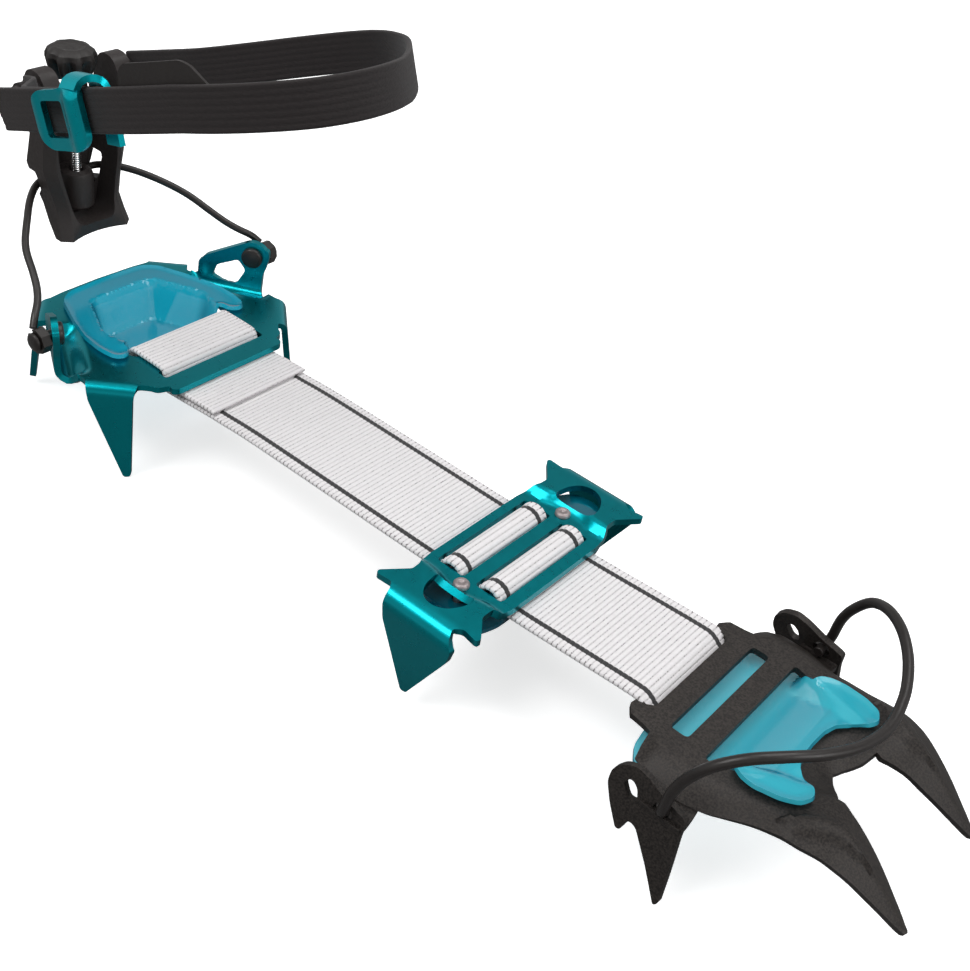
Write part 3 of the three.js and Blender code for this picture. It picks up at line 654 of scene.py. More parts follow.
def heel_blank():
    """Half outline of the flat blank, from the front bar round to the rear."""
    front_a, front_b = (np.array(p) for p in FRONT_SPIKE)
    rear_a, rear_b = (np.array(p) for p in REAR_SPIKE)

    def off(line_a, line_b, t, d):
        along = line_b - line_a
        out = np.array([-along[1], along[0]]) / np.linalg.norm(along)
        if out[1] < 0:
            out = -out
        return tuple(line_a + along * t + out * d)

    ear = ear_blank
    boss = [ear(0.3 + 5.5 * math.sin(a), 9.9 + 5.6 * math.cos(a)) for a in np.linspace(1.75, -0.45, 9)]
    return [
        (-114, 0), (-114, 20.7), (-115.2, 22.2), (-117, 21.6), (-118.4, 25.2), (-120.4, 26.0),
        off(front_a, front_b, -0.03, 0), off(front_a, front_b, 0.06, 6),
        off(front_a, front_b, 0.09, 32.2), off(front_a, front_b, 0.24, 32.6),
        off(front_a, front_b, 0.95, 7), off(front_a, front_b, 1.03, 0),
        (-138.4, 38.6), (-141.4, 39.0), ear(3.4, -2), ear(3.8, 4), *boss,
        ear(-16.2, 7.2), ear(-18.6, 4.2), ear(-18.9, -1.6), (-165.4, 27.2), (-167.4, 27.4),
        off(rear_a, rear_b, -0.02, 0), off(rear_a, rear_b, 0.04, 5),
        off(rear_a, rear_b, 0.68, 29.6), off(rear_a, rear_b, 0.86, 29.9),
        off(rear_a, rear_b, 0.97, 5), off(rear_a, rear_b, 1.03, 0), (-179, 14), (-179.4, 0),
    ]


def heel_form(blank):
    """Deck with a shallow dip at each ear, spikes turned down and ears turned up."""
    side = np.where(blank[:, 1] < 0, -1.0, 1.0)
    points = np.column_stack([blank[:, 0], np.abs(blank[:, 1])])
    root = EAR_PIVOT - EAR_OUT * EAR_ROOT
    s, d = (points - EAR_PIVOT) @ EAR_ALONG, (points - root) @ EAR_OUT
    over = np.clip((s + 21) / 3, 0, 1) * np.clip((7.5 - s) / 3, 0, 1)
    heights = -EAR_DIP * over * smoothstep((d + 6.5) / 6)
    out = np.column_stack([points, heights])
    bends = (
        (FRONT_SPIKE, math.radians(83), 3.2, (-0.8, 15.6)),
        (REAR_SPIKE, math.radians(81), 3.0, (-0.6, 13.8)),
        ((root, root + EAR_ALONG), -math.pi / 2, EAR_ROOT, (-21, 7)),
    )
    for line, angle, radius, reach in bends:
        zone = past(points, *line, reach)
        out[zone] = fold(points, heights, *line, angle, radius)[zone]
    out[:, 1] *= side
    return out


def heel_frame():
    blank = symmetric(heel_blank())
    strap_slot = rounded([(-120.9, 19.8), (-124.8, 19.8), (-124.8, -19.8), (-120.9, -19.8)], 1)
    opening = rounded([
        (-134.8, 20.2), (-150.5, 21.8), (-168.6, 13), (-168.6, -13), (-150.5, -21.8), (-134.8, -20.2),
    ], 3)
    windows = []
    for side in SIDES:
        corners = [(-2.2, 4.4), (-4.8, 8.0), (-12.3, 4.4), (-13.9, -0.2), (-9.2, -1.2), (-5.2, -1.2)]
        windows.append(rounded([ear_blank(s, z, side) for s, z in corners], 1.2))
        windows.append(circle(*ear_blank(0, PIVOT.z, side), 2.2, 20))
    part = sheet(rounded(blank, 0.9, 3), [strap_slot, opening, *windows], heel_form, ALU_THICK, 1.25)
    obj = make_object("heel_frame_formed", *part, TEAL)
    bevel(obj, 0.35, 2, 50)
    place_piece(obj, "heel", "teal_anodised", "heel_frame")


# ------------------------------------------------------------------ heel tray
def heel_tray():
    rim = rounded(symmetric([
        (-142, 0), (-141.6, 19.9), (-137.4, 20.4), (-135.8, 23.4), (-137.4, 25.8), (-143, 26.8),
        (-151, 26.3), (-160, 23.6), (-172, 18.9), (-175.2, 14.4), (-175.8, 0),
    ]), 2.4, 4)
    pocket = rounded(symmetric([
        (-138.5, 0), (-138.5, 18.3), (-143, 18.6), (-150.3, 20.6), (-167.4, 12.6), (-168, 0),
    ]), 3.5, 4)

    def form(blank):
        depth = signed_inside(blank, pocket)
        bead = np.exp(-(edge_distance(blank, rim) / 0.9) ** 2)
        drop = smoothstep(depth / 4.4)
        return np.column_stack([blank, 1.75 + 0.45 * bead * (1 - drop) - 13 * drop])

    obj = make_object("heel_tray_moulded", *sheet(rim, [], form, TPU_THICK, 0.95), TRAY)
    place_piece(bevel(obj, 0.3, 2, 50), "heel", "clear_cyan_tpu", "heel_snow_tray")


# ------------------------------------------------------------------ linking strap
RIB_PITCH = 1.5
RIB_HEIGHT = 0.2
STRAP_STEP = 0.3


def strap_line():
    """Centre line in x and z from the free hem, over and round the heel bar, to the toe bar."""
    turn = [(-136.4 + 3.55 * math.cos(a), -2.65 + 3.55 * math.sin(a)) for a in np.linspace(1.75, 4.3, 8)]
    heel = [(-100.4, -2.3), (-107, -2.6), (-114, -3.15), (-119.4, -3.15), (-121.8, -2.7), (-122.9, -1.1),
            (-123.8, 0.5), (-125.4, 0.98), (-130, 1.0), *turn, (-130, -6.2), (-122, -5.8), (-113, -5.1)]
    hump = [(-4.7, -2.75), (-3.7, -1.8), (-2.9, 0.1), (-1.6, 1.25), (0, 1.6),
            (1.6, 1.25), (2.9, 0.1), (3.7, -1.8), (4.7, -2.75)]
    middle = [(c + x, z) for c in (-6.55, 6.75) for x, z in hump]
    return heel + [(-104, -4.3), (-98, -3.95), (-84, -3.3), (-50, -3.1), (-17, -3.0)] + middle + [
        (18, -2.8), (38, -1.8), (53, -1.15), (56.2, -1.7), (58.2, -3.3), (60.4, -4.5), (65, -4.6)]


def strap_columns(width):
    near_edge = [0, 0.12, 0.35, 0.7, 1.1, 1.5, 1.9, 2.6]
    middle = np.linspace(2.6, width - 2.6, 16)[1:-1]
    return np.array(near_edge + list(middle) + [width - e for e in reversed(near_edge)]) - width / 2


def strap_piece(name, line, first, last, nodes):
    """Ribbed webbing between two rows of the strap's centre line."""
    columns = strap_columns(STRAP_WIDTH)
    edge = STRAP_WIDTH / 2 - np.abs(columns)
    round_off = np.sqrt(np.clip(1 - (1 - np.clip(edge / 0.7, 0, 1)) ** 2, 0, 1))
    tangents = directions(line)
    verts, grooves = [], []
    n = len(columns)
    ring = 2 * n - 2
    for i in range(first, last + 1):
        x, z = line[i]
        tx, tz = tangents[i]
        s = i * STRAP_STEP
        end = min(i, len(line) - 1 - i) * STRAP_STEP
        close = math.sqrt(max(0.0, 1 - (1 - min(end / 0.8, 1)) ** 2)) * 0.92 + 0.08
        phase = (s / RIB_PITCH) % 1
        rib = RIB_HEIGHT * (1 - (2 * phase - 1) ** 4)
        taper = 0.5 if line[i][0] < 60 else 2.2
        squeeze = 1 - 0.0095 * taper * (math.cos(2 * math.pi * phase) + 1) / 2
        row = []
        for k, y in enumerate(columns):
            twist = 0.16 * math.sin(2 * math.pi * (s / RIB_PITCH + edge[k] / 1.5)) if edge[k] < 1.9 else 0
            half = (STRAP_THICK / 2 - RIB_HEIGHT + rib + twist) * round_off[k] * close
            row.append((y * squeeze, half))
        verts += [(x - tz * h, y, z + tx * h) for y, h in row]
        verts += [(x + tz * h, y, z - tx * h) for y, h in reversed(row[1:-1])]
        # groove marks where each rib's groove lies; the webbing colour uses it as a painted-shade mask and to
        # place flecks
        grooves += [(2 * phase - 1) ** 4] * ring
    rows = last - first + 1
    faces = ring_faces(rows, ring, flip=True)
    slots = [0 if k < n - 1 else 1 for k in range(ring)] * (rows - 1) + [1, 1]
    obj = make_object(name, verts, faces, None, 50, [STRIPED, PLAIN_WHITE], slots)
    depth = obj.data.attributes.new("groove", "FLOAT", "POINT")
    depth.data.foreach_set("value", grooves)
    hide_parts(*nodes)
    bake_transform(obj)


def linking_strap():
    line = catmull(strap_line(), STRAP_STEP)
    turned = int(np.argmin(line[:, 0]))

    def row_at(x):
        return turned + int(np.argmin(np.abs(line[turned:, 0] - x)))

    cuts = [0, row_at(-57.5), row_at(0.1), row_at(36), len(line) - 1]
    pieces = (
        ("strap_heel", ("heel", "rear_span", (-104, -92)), ["strap_heel_wrap"]),
        ("strap_rear", ("rear_span", "mid", (-23, -12)), ["strap_rear_span"]),
        ("strap_front", ("mid", "front_span", (12, 24)), ["strap_mid_weave", "strap_front_span"]),
        ("strap_toe", ("front_span", "front", (48, 57)), ["strap_toe_wrap"]),
    )
    for (name, body, nodes), first, last in zip(pieces, cuts, cuts[1:]):
        strap_piece(name, line, first, last, nodes)


# ------------------------------------------------------------------ middle plate
MID_LOW = 0.6
MID_HIGH = 3.0
ROLL_START = 36.6
ROLL_RADIUS = 5.0
MID_RIVET_Y = 22.3


def mid_form(blank):
    """Low centre, curved step up to the side platforms, rolled edges and side flanges."""
    side = np.sign(blank[:, 1])
    v = np.abs(blank[:, 1])
    x = blank[:, 0]
    foot = 21.8 + 1.8 * np.exp(-((x - 0.5) / 7.0) ** 4)
    step = smoothstep((v - foot) / 3.4)
    z = MID_LOW + (MID_HIGH - MID_LOW) * step
    past_start = np.maximum(v - ROLL_START, 0)
    turn = np.clip(past_start / ROLL_RADIUS, 0, math.pi / 2)
    rest = np.maximum(past_start - ROLL_RADIUS * math.pi / 2, 0)
    y = np.minimum(v, ROLL_START) + ROLL_RADIUS * np.sin(turn)
    z = z - ROLL_RADIUS * (1 - np.cos(turn)) - rest
    return np.column_stack([x, y * side, z])


def mid_plate():
    half = [
        (15, 0), (15, 18.4), (14.4, 22.4), (12.9, 25.6), (12.9, 29.4), (17.9, 35.9), (17.4, 37.3),
        (12.6, 36.4), (10.4, 38.2), (11.6, 41.4), (13.2, 44.4), (12.3, 48.4), (1.4, 67.6), (-0.5, 67.8),
        (-9.5, 48), (-10.2, 43), (-10.5, 38.9), (-11.6, 37.0), (-16.6, 37.4), (-17, 36.2), (-11.4, 29.2),
        (-11.6, 25.8), (-13.6, 22.4), (-14, 18.4), (-14, 0),
    ]
    slots = [rounded([(a, -19.3), (b, -19.3), (b, 19.3), (a, 19.3)], 1.2)
             for a, b in ((-11.2, -1.9), (2.2, 11.3))]
    arch = [(7.8, 25.3), (7.2, 30), (4.8, 34.2), (1.2, 35.9),
            (-2.4, 35.2), (-5.0, 31.8), (-5.8, 27), (-5.4, 25.3)]
    windows = [rounded([(x, y * s) for x, y in arch], 2.2, 4) for s in SIDES]
    part = sheet(rounded(symmetric(half), 0.7, 3), slots + windows, mid_form, ALU_THICK, 1.15)
    obj = make_object("mid_plate_formed", *part, TEAL)
    place_piece(bevel(obj, 0.3, 2, 50), "mid", "teal_anodised", "mid_plate")


def mid_rivets():
    """Domed, dimpled rivets from the plate down through the flexible plate."""
    profile = [(0.01, -6.6), (2.5, -6.4), (2.7, -5.9), (1.55, -5.8), (1.55, 0.6), (2.3, 0.7), (2.25, 1.3),
               (1.9, 1.75), (1.25, 1.9), (0.85, 1.75), (0.55, 1.45), (0.01, 1.45)]
    for side, node in ((1, "mid_rivet_left"), (-1, "mid_rivet_right")):
        part = lathe(profile, 32, (0, MID_RIVET_Y * side))
        obj = make_object(node + "_domed", *part, RIVET, 50)
        place_piece(obj, "mid", "grey_rivet", node)


def mid_under_plate():
    """Soft plate that closes the windows from below and holds the strap up in the slots."""
    half = [(13.6, 0), (13.4, 22), (12, 27), (8.4, 33), (2, 36.2),
            (-4, 35.6), (-8.4, 31), (-12, 25), (-12.6, 20), (-12.8, 0)]
    holes = [circle(0, MID_RIVET_Y * s, 1.9) for s in SIDES]

    def form(blank):
        v = np.abs(blank[:, 1])
        rib = sum(np.exp(-((blank[:, 0] - c) / 1.9) ** 2) for c in (-6.55, 6.75))
        rib = rib * np.clip((18.6 - v) / 1.5, 0, 1)
        dish = smoothstep((v - 27) / 7)
        return np.column_stack([blank, -4.15 + 3.5 * rib + 2.6 * dish])

    part = sheet(rounded(symmetric(half), 2, 4), holes, form, TPU_THICK, 1.1)
    obj = make_object("mid_under_plate_moulded", *part, UNDER)
    place_piece(bevel(obj, 0.25, 2, 50), "mid", "clear_cyan_tpu", "mid_snow_plate")


# ------------------------------------------------------------------ front frame
# Stations along the outer rail, from the rear bar to the tip of a front point:
# x, then y and z of the inner edge, of the fold, and of the outer edge.
RAIL = (
    (60, 19.4, -1.3, 24.0, -1.3, 30.0, -4.0),
    (64, 20.0, -1.3, 24.6, -1.3, 30.6, -4.2),
    (68, 22.4, -1.3, 28.2, -1.3, 34.0, -5.0),
    (76, 22.8, -1.3, 28.8, -1.3, 34.6, -5.6),
    (84, 20.8, -1.2, 27.6, -1.2, 33.0, -5.8),
    (90, 18.6, -0.8, 26.6, -0.9, 31.4, -4.2),
    (96, 16.4, -0.4, 25.8, -0.3, 29.8, -2.6),
    (102, 13.2, 0.0, 24.6, 0.6, 29.0, -1.3),
    (107, 9.7, -0.1, 22.0, 1.7, 28.7, -1.0),
    (112, 10.9, -1.2, 19.8, 1.3, 27.5, -1.5),
    (116, 12.1, -2.7, 19.1, -0.2, 26.4, -3.0),
    (120, 13.1, -5.0, 19.0, -2.8, 25.1, -5.0),
    (124, 14.4, -7.5, 19.1, -5.8, 23.9, -7.5),
    (128, 15.8, -10.3, 19.2, -9.1, 22.5, -10.3),
    (132, 17.3, -13.1, 19.2, -12.6, 21.1, -13.1),
    (134.2, 18.3, -14.8, 19.2, -14.5, 20.1, -14.8),
)
RAILS = catmull(RAIL, 0.6)
EAR_Y = 38.2


def rail(x, column):
    return np.interp(x, RAILS[:, 0], RAILS[:, column])


def front_form(blank):
    """Deck, rails, web and front points as one drawn sheet."""
    x, v = blank[:, 0], np.abs(blank[:, 1])
    inner_y, inner_z = rail(x, 1), rail(x, 2)
    fold_y, fold_z = rail(x, 3), rail(x, 4)
    outer_y, outer_z = rail(x, 5), rail(x, 6)
    t = (v - inner_y) / np.maximum(fold_y - inner_y, 0.3)
    u = (v - fold_y) / np.maximum(outer_y - fold_y, 0.3)
    slope_in = fold_z - inner_z
    slope_out = outer_z - fold_z
    width = np.interp(x, (60, 100, 120, 134), (1.6, 1.6, 0.9, 0.3))
    crease = np.abs(v - fold_y)
    soften = np.where(crease < width, (width - crease) ** 2 / (4 * width), 0)
    z = np.where(t < 1, inner_z + slope_in * np.clip(t, 0, 1), fold_z + slope_out * np.clip(u, 0, 1.2))
    rate = slope_out / np.maximum(outer_y - fold_y, 0.3) - slope_in / np.maximum(fold_y - inner_y, 0.3)
    z = z + soften * rate
    valley = np.interp(x, (86, 91, 96, 100, 107), (0, 0.8, 2.4, 4.2, 5.8))
    across = np.clip(v / np.maximum(inner_y, 1), 0, 1)
    z = np.where(t < 0, inner_z - valley * (1 - across ** 1.4), z)
    reach = np.interp(x, (99, 104, 110, 122.6), (0, 3.6, 3.2, 0))
    leaf = np.clip(1 - np.abs(v - fold_y - 0.4) / np.maximum(reach, 0.05), 0, 1)
    z = z + 0.95 * np.minimum(leaf * 3.2, 1) * (reach > 0.05)
    return np.column_stack([blank, z])


def front_outline():
    outer = [(x, rail(x, 5)) for x in np.arange(66, 134.2, 1.2)]
    inner = [(x, rail(x, 1)) for x in np.arange(133.4, 107.6, -1.3)]
    rear = [(59.6, 0), (59.6, 17.0), (57.6, 18.4), (55.0, 17.6), (54.6, 20.8), (56.6, 23.6), (60.8, 24.2),
            (63.2, 24.8), (63.6, 28.6), (64.4, 32.0)]
    tip = [(134.4, 20.1), (134.8, 19.2), (134.4, 18.3)]
    web = [(107.0, 10.2), (105.6, 6.6), (103.2, 3.0), (101.7, 0)]
    return symmetric(rear + outer + tip + inner + web)


def front_frame():
    slot = rounded([(65.8, -20), (71, -20), (71, 20), (65.8, 20)], 1.4)
    opening = rounded([
        (77.4, -22.6), (90.2, -18.6), (91.4, -16), (91.4, 16), (90.2, 18.6), (77.4, 22.6),
    ], 1.6)
    deck = sheet(np.array(front_outline()), [slot, opening], front_form, STEEL_THICK, 1.1)
    obj = make_object("front_frame_drawn", *deck, STEEL, 28)
    bevel(obj, 0.25, 2, 50)
    place_piece(obj, "front", "dark_steel", "front_frame")
    for side, label in zip(SIDES, SIDE_NAMES):
        front_ear(side, label)


def ear_point(x, t):
    """A point on the splayed ear plane, t measured up along it."""
    return np.column_stack([x, EAR_Y - t * math.sin(EAR_SPLAY), t * math.cos(EAR_SPLAY)])


def front_ear(side, label):
    """Splayed ear with its side spike, and the curved wall that joins it to the rail."""
    outline = rounded([
        (62.9, -7.2), (62.9, -3.4), (65.2, -0.2), (68.8, 1.3), (72.6, 0.4), (77.6, -1.8), (84.2, -3.6),
        (84.0, -8.4), (84.6, -14), (85.3, -21), (85.9, -29.0), (84.9, -30.2), (79.2, -21.4),
        (73.6, -13.9), (71.4, -13.4), (70.2, -17.4), (69.0, -17.6), (65.4, -12.2),
    ], 1.3, 4)
    slot = rounded([(66.6, -4.7), (68.2, -2.5), (70.4, -3.8), (71.6, -7.4), (69.2, -8.2)], 1.6, 4)
    bore = circle(BAIL_PIVOT.x, BAIL_PIVOT.z / math.cos(EAR_SPLAY) - 0.2, 2.5)
    plate = sheet(outline, [slot, bore], lambda p: ear_point(p[:, 0], p[:, 1]), STEEL_THICK, 1.3, True)
    rows = []
    for x in np.linspace(72.4, 83.6, 12):
        y0, z0 = float(rail(x, 5)) - 0.6, float(rail(x, 6)) + 0.3
        low = min(z0 - 1.7, -6.6)
        bottom = EAR_Y - low * math.tan(EAR_SPLAY)
        track = catmull([(y0, z0), (y0 + 1.3, (z0 + low) / 2 - 0.5), (mix(y0, bottom, 0.62), low - 0.7),
                         (bottom - 0.2, low - 0.2), (bottom - 0.1, low + 1.2)], 0.9)
        track = resample(track, np.linalg.norm(np.diff(track, axis=0), axis=1).sum() / 9)
        rows.append([(x, y, z) for y, z in track])
    gully = grid_sheet(rows, STEEL_THICK * 0.8)
    part = merge(plate, gully)
    if side < 0:
        part = mirror_y(part)
    obj = make_object(f"front_ear_{label}", *part, STEEL, 35)
    bevel(obj, 0.25, 2, 50)
    place_piece(obj, "front", "dark_steel")


def grid_sheet(rows, thickness):
    """A sheet through rows of points, thickened below its upper face."""
    points = np.array(rows, float)
    n, m = points.shape[:2]
    tris = []
    for i in range(n - 1):
        for k in range(m - 1):
            a, b, c, d = i * m + k, (i + 1) * m + k, (i + 1) * m + k + 1, i * m + k + 1
            tris += [(a, b, c), (a, c, d)]
    return thicken(points.reshape(-1, 3), np.array(tris), thickness)


def front_soft_plate():
    half = [
        (60.8, 0), (60.4, 22), (61.4, 27.4), (64.0, 31.6), (69, 33.2), (76, 31.4), (79.6, 26), (80.4, 20.4),
        (83.6, 18.6), (84.8, 21.4), (87.6, 22.8), (91, 23.2), (97.4, 22.2), (101.6, 20.2), (103.2, 16.8),
        (101.8, 14.2), (98, 12.2), (95.6, 9.2), (94.4, 5), (94.2, 0),
    ]
    outline = rounded(symmetric(half), 1.2, 4)

    def form(blank):
        x, v = blank[:, 0], np.abs(blank[:, 1])
        rise = smoothstep((x - 77) / 19)
        floor_z = -5.9 + 6.9 * rise
        wall = np.interp(x, (78, 84, 92, 104), (19.2, 17.6, 15.4, 12))
        lap = smoothstep((v - wall + 1.6) / 3.4) * smoothstep((x - 78.5) / 4)
        top = np.interp(x, (80, 90, 100, 104), (1.1, 1.5, 2.4, 3.0))
        bead = 0.35 * np.exp(-(edge_distance(blank, outline) / 1.0) ** 2) * (x > 84)
        return np.column_stack([blank, floor_z + (top - floor_z) * lap + bead])

    obj = make_object("front_soft_plate_moulded", *sheet(outline, [], form, TPU_THICK, 0.95), TPU)
    place_piece(bevel(obj, 0.3, 2, 50), "front", "clear_cyan_tpu", "front_snow_plate")


# ------------------------------------------------------------------ bail and cable
def both_sides(half):
    """A path across the part from its far half, listed from the outside in."""
    far = [tuple(p) for p in half]
    near = [(x, -y, z) for x, y, z in reversed(far) if abs(y) > 1e-6]
    return far + near


def toe_bail():
    x, z = BAIL_PIVOT.x, BAIL_PIVOT.z
    half = [(x, 36.0, z), (x, 38.6, z), (x, 40.6, z + 0.5), (x + 0.5, 41.6, z + 2.6), (79.2, 41.4, 4.6),
            (81.4, 40.6, 10.6), (85.4, 38.9, 16.6), (90.8, 34.9, 20.3), (96.7, 29.2, 21.5),
            (102.1, 21.9, 20.9), (106.2, 13.3, 19.6), (108.2, 5, 18.6), (108.6, 0, 18.4)]
    obj = make_object("toe_bail_wire", *tube(catmull(both_sides(half), 1.3), 1.4, 20), BLACK, 50)
    place_piece(bevel(obj, 0.3, 2, 60), "toe_bail", "black_wire", "toe_bail")


def heel_cable():
    half = [(-150.4, 44.8, 12.4), (-152.4, 42.6, 14.8), (-155.4, 39.4, 16.8), (-159, 36.8, 18.8),
            (-163.6, 34.6, 21.2), (-172, 31, 25.2), (-179.5, 24.8, 29.2), (-186.4, 18.4, 31.8),
            (-191.4, 12, 32.8), (CABLE_X, 6, CABLE_Z), (CABLE_X, 0, CABLE_Z)]
    obj = make_object("heel_cable_sheathed", *tube(catmull(both_sides(half), 1.2), 1.15, 16), BLACK, 50)
    place_piece(obj, "cable", "black_wire", "heel_cable")


def heel_rivets():
    """Rivets through the ears: a flat head on the ear's inner face, a domed one past the cable eye."""
    shank = [(0.01, -0.6), (2.0, -0.6), (2.0, 7.8), (2.7, 7.8),
             (2.9, 8.1), (2.7, 8.7), (2.0, 9.1), (0.01, 9.15)]
    head = [(0.01, -1.7), (2.6, -1.7), (3.2, -1.5), (3.5, -1.1), (3.5, 0.4), (0.01, 0.4)]
    along_y = Matrix.Rotation(-math.pi / 2, 4, "X")
    along_ear = Matrix.Rotation(EAR_ANGLE, 4, "Z") @ along_y
    for side, label in zip(SIDES, SIDE_NAMES):
        part = merge(transformed(lathe(shank, 36), along_y), transformed(lathe(head, 40), along_ear))
        part = (part[0] + np.array(PIVOT), part[1])
        if side < 0:
            part = mirror_y(part)
        obj = make_object(f"heel_pivot_{label}", *part, BLACK, 40)
        place_piece(bevel(obj, 0.15, 2, 40), "heel", "black_wire", f"heel_pivot_rivet_{label}")


# ------------------------------------------------------------------ ankle strap
FORWARD = np.array([math.cos(WEB_TILT), 0, math.sin(WEB_TILT)])
ACROSS = np.array([-math.sin(WEB_TILT), 0, math.cos(WEB_TILT)])


def strap_place(s, y, lift=0.0):
    return np.array(LUG) + FORWARD * s + np.array([0, y, 0]) + ACROSS * lift


def ribbed_band(path, lifts, width, thickness, ridges, end_cut=0.0):
    """Webbing swept on edge along a path in the ankle strap's plane."""
    count = 6 * ridges
    across = np.linspace(-width / 2, width / 2, count + 1)
    edge = width / 2 - np.abs(across)
    round_off = np.sqrt(np.clip(1 - (1 - np.clip(edge / 0.6, 0, 1)) ** 2, 0, 1))
    ridge = 0.11 * np.abs(np.cos(math.pi * ridges * across / width)) ** 0.7
    half = (thickness / 2 - 0.1 + ridge) * round_off
    points = np.array([strap_place(s, y, l) for (s, y), l in zip(path, lifts)])
    verts = []
    for i, (p, t) in enumerate(zip(points, directions(points))):
        out = np.cross(t, ACROSS)
        out /= np.linalg.norm(out)
        slide = -end_cut * np.clip(-across / width + 0.1, 0, 1) * (1 if i == len(points) - 1 else 0)
        row = [(p + ACROSS * a + t * c, out * h) for a, h, c in zip(across, half, slide)]
        verts += [q + h for q, h in row] + [q - h for q, h in reversed(row[1:-1])]
    return np.array(verts), ring_faces(len(points), 2 * count, flip=True)


def lug_loop(side):
    """Webbing end turned round the lug's axle."""
    track = [(3.1 * math.cos(a), 2.7 * math.sin(a)) for a in np.linspace(0.4, 2 * math.pi - 0.5, 22)]
    centre = np.array(LUG)
    ring = [centre + np.array([x, side * 18.3, z]) for x, z in track]
    rows = [[p + np.array([0, w, 0]) for w in np.linspace(-2.6, 2.6, 7)] for p in ring]
    return grid_sheet(rows, 1.3)


def ankle_straps():
    loop = [(1, 18.6), (18, 19.2), (34, 20.6), (47, 27), (60, 35.4), (74, 42.4), (88, 43.6), (102, 37),
            (114, 26), (124, 14), (131, 1.5), (133.6, -10), (132, -19), (127, -26.4), (117, -33),
            (104, -38), (88, -41), (74, -42.4), (52, -42.9), (39, -43), (25, -42.8)]
    path = catmull(loop, 1.5)
    share = np.linspace(0, 1, len(path))
    lifts = np.interp(share, (0, 0.3, 0.5, 0.62, 0.75, 1), (0, -0.4, -2.0, -0.6, 1.2, 1.4))
    long_strap = merge(ribbed_band(path, lifts, WEB_WIDTH, 1.6, 7, 3.2), lug_loop(1))
    obj = make_object("ankle_webbing_long", *long_strap, DARK_WEB, 50)
    place_piece(obj, "ankle", "dark_webbing", "ankle_strap")
    inner = catmull([
        (1, -18.4), (12, -22.6), (22, -31), (32, -38.2), (46, -40.6), (60, -40.9), (70, -40.8),
    ], 1.5)
    lifts = np.interp(np.linspace(0, 1, len(inner)), (0, 0.5, 1), (0, 0.8, 1.2))
    short_strap = merge(ribbed_band(inner, lifts, WEB_WIDTH, 1.5, 7), lug_loop(-1))
    obj = make_object("ankle_webbing_short", *short_strap, DARK_WEB, 50)
    place_piece(obj, "ankle", "dark_webbing", "ankle_strap_short")


def label_tab():
    """A blank, slightly raised tab folded over the strap's upper edge."""
    outline = rounded([
        (78, 2.6), (79.2, 10.2), (81.6, 12.2), (100, 12.2), (103, 10.8), (108, 4.8), (107.6, 2.6),
    ], 1.2, 4)

    def form(blank):
        s, up = blank[:, 0], blank[:, 1]
        y = np.interp(s, (74, 88, 104, 108), (-41.0, -39.6, -36.6, -35.5))
        return np.array([strap_place(a, b, c) for a, b, c in zip(s, y, up)])

    obj = make_object("label_tab_blank", *sheet(outline, [], form, 0.9, 1.3, True), KNOB)
    place_piece(bevel(obj, 0.25, 2, 50), "ankle", "dark_webbing", "strap_label_tab")


def buckle():
    """Slotted hook: a crowned frame outside the strap, and a leg behind it joined over the top."""
    frame_line = rounded([(47.0, -6.0), (50.6, -9.4), (64.6, -9.6), (67.8, -7), (67.8, 5.0), (65.2, 6.8),
                          (58, 6.0), (50, 5.8), (47.2, 3.8)], 2.2, 4)
    window = rounded([(50.8, -6.2), (60.4, -6.2), (60.4, 3.2), (50.8, 3.2)], 1.2, 4)

    def bowed(blank):
        s, up = blank[:, 0], blank[:, 1]
        crown = 1.1 * np.exp(-((s - 63.8) / 2.2) ** 2) + 0.35 * np.exp(-((s - 48.6) / 1.5) ** 2)
        hook = smoothstep((up - 3.6) / 4) * np.clip((s - 60) / 4, 0, 1)
        y = -45.4 - crown + 2.6 * hook
        return np.array([strap_place(a, b, c + 1.2) for a, b, c in zip(s, y, up)])

    face = sheet(frame_line, [window], bowed, 1.8, 0.9, True)
    leg = ((64.2, 5.4, -44.8), (65.0, 7.0, -43.8), (66.2, 7.4, -42.0), (67.4, 6.4, -40.2),
           (68.2, 3.8, -39.4), (68.4, 0.0, -39.3), (68.4, -4.8, -39.3), (68.4, -9.4, -39.5))
    band = []
    for s, up, y in leg:
        half = 3.1 if up > 5 else 2.6
        band.append([strap_place(s + w, y, up + 1.2 - 0.12 * w) for w in np.linspace(-half, half, 7)])
    columns = [catmull([row[k] for row in band], 0.9) for k in range(7)]
    count = min(len(c) for c in columns)
    even = [[c[int(round(i * (len(c) - 1) / (count - 1)))] for c in columns] for i in range(count)]
    hook = grid_sheet(even, 1.8)
    # the buckle takes the lighter teal copy, which is painted light
    obj = make_object("hook_buckle_bowed", *merge(face, hook), PAINTED_LIGHT_TEAL, 40)
    place_piece(bevel(obj, 0.45, 3, 50), "ankle", "teal_anodised", "hook_buckle")


# ------------------------------------------------------------------ heel lever
# Height, half width, front face and rear face of the lever's housing
HOUSING_LEVELS = (
    (60, 15.0, -182.2, -194.6), (50, 13.9, -181.8, -196), (41, 15.4, -181, -196.4), (34, 13.6, -180.6, -196),
    (27, 12, -179.8, -194), (22, 12.6, -178, -190.6), (17.9, 13.4, -176.6, -186.4),
)
SIDE_CHAMFER = 4.6
FRONT_CHAMFER = 2.6


def slab(outline, low, high, axis):
    """A solid over an upright outline, from low to high along the x or y axis."""
    if axis == "x":
        return loft([[(at, a, b) for a, b in outline] for at in (low, high)])
    return loft([[(a, at, b) for a, b in outline[::-1]] for at in (low, high)])


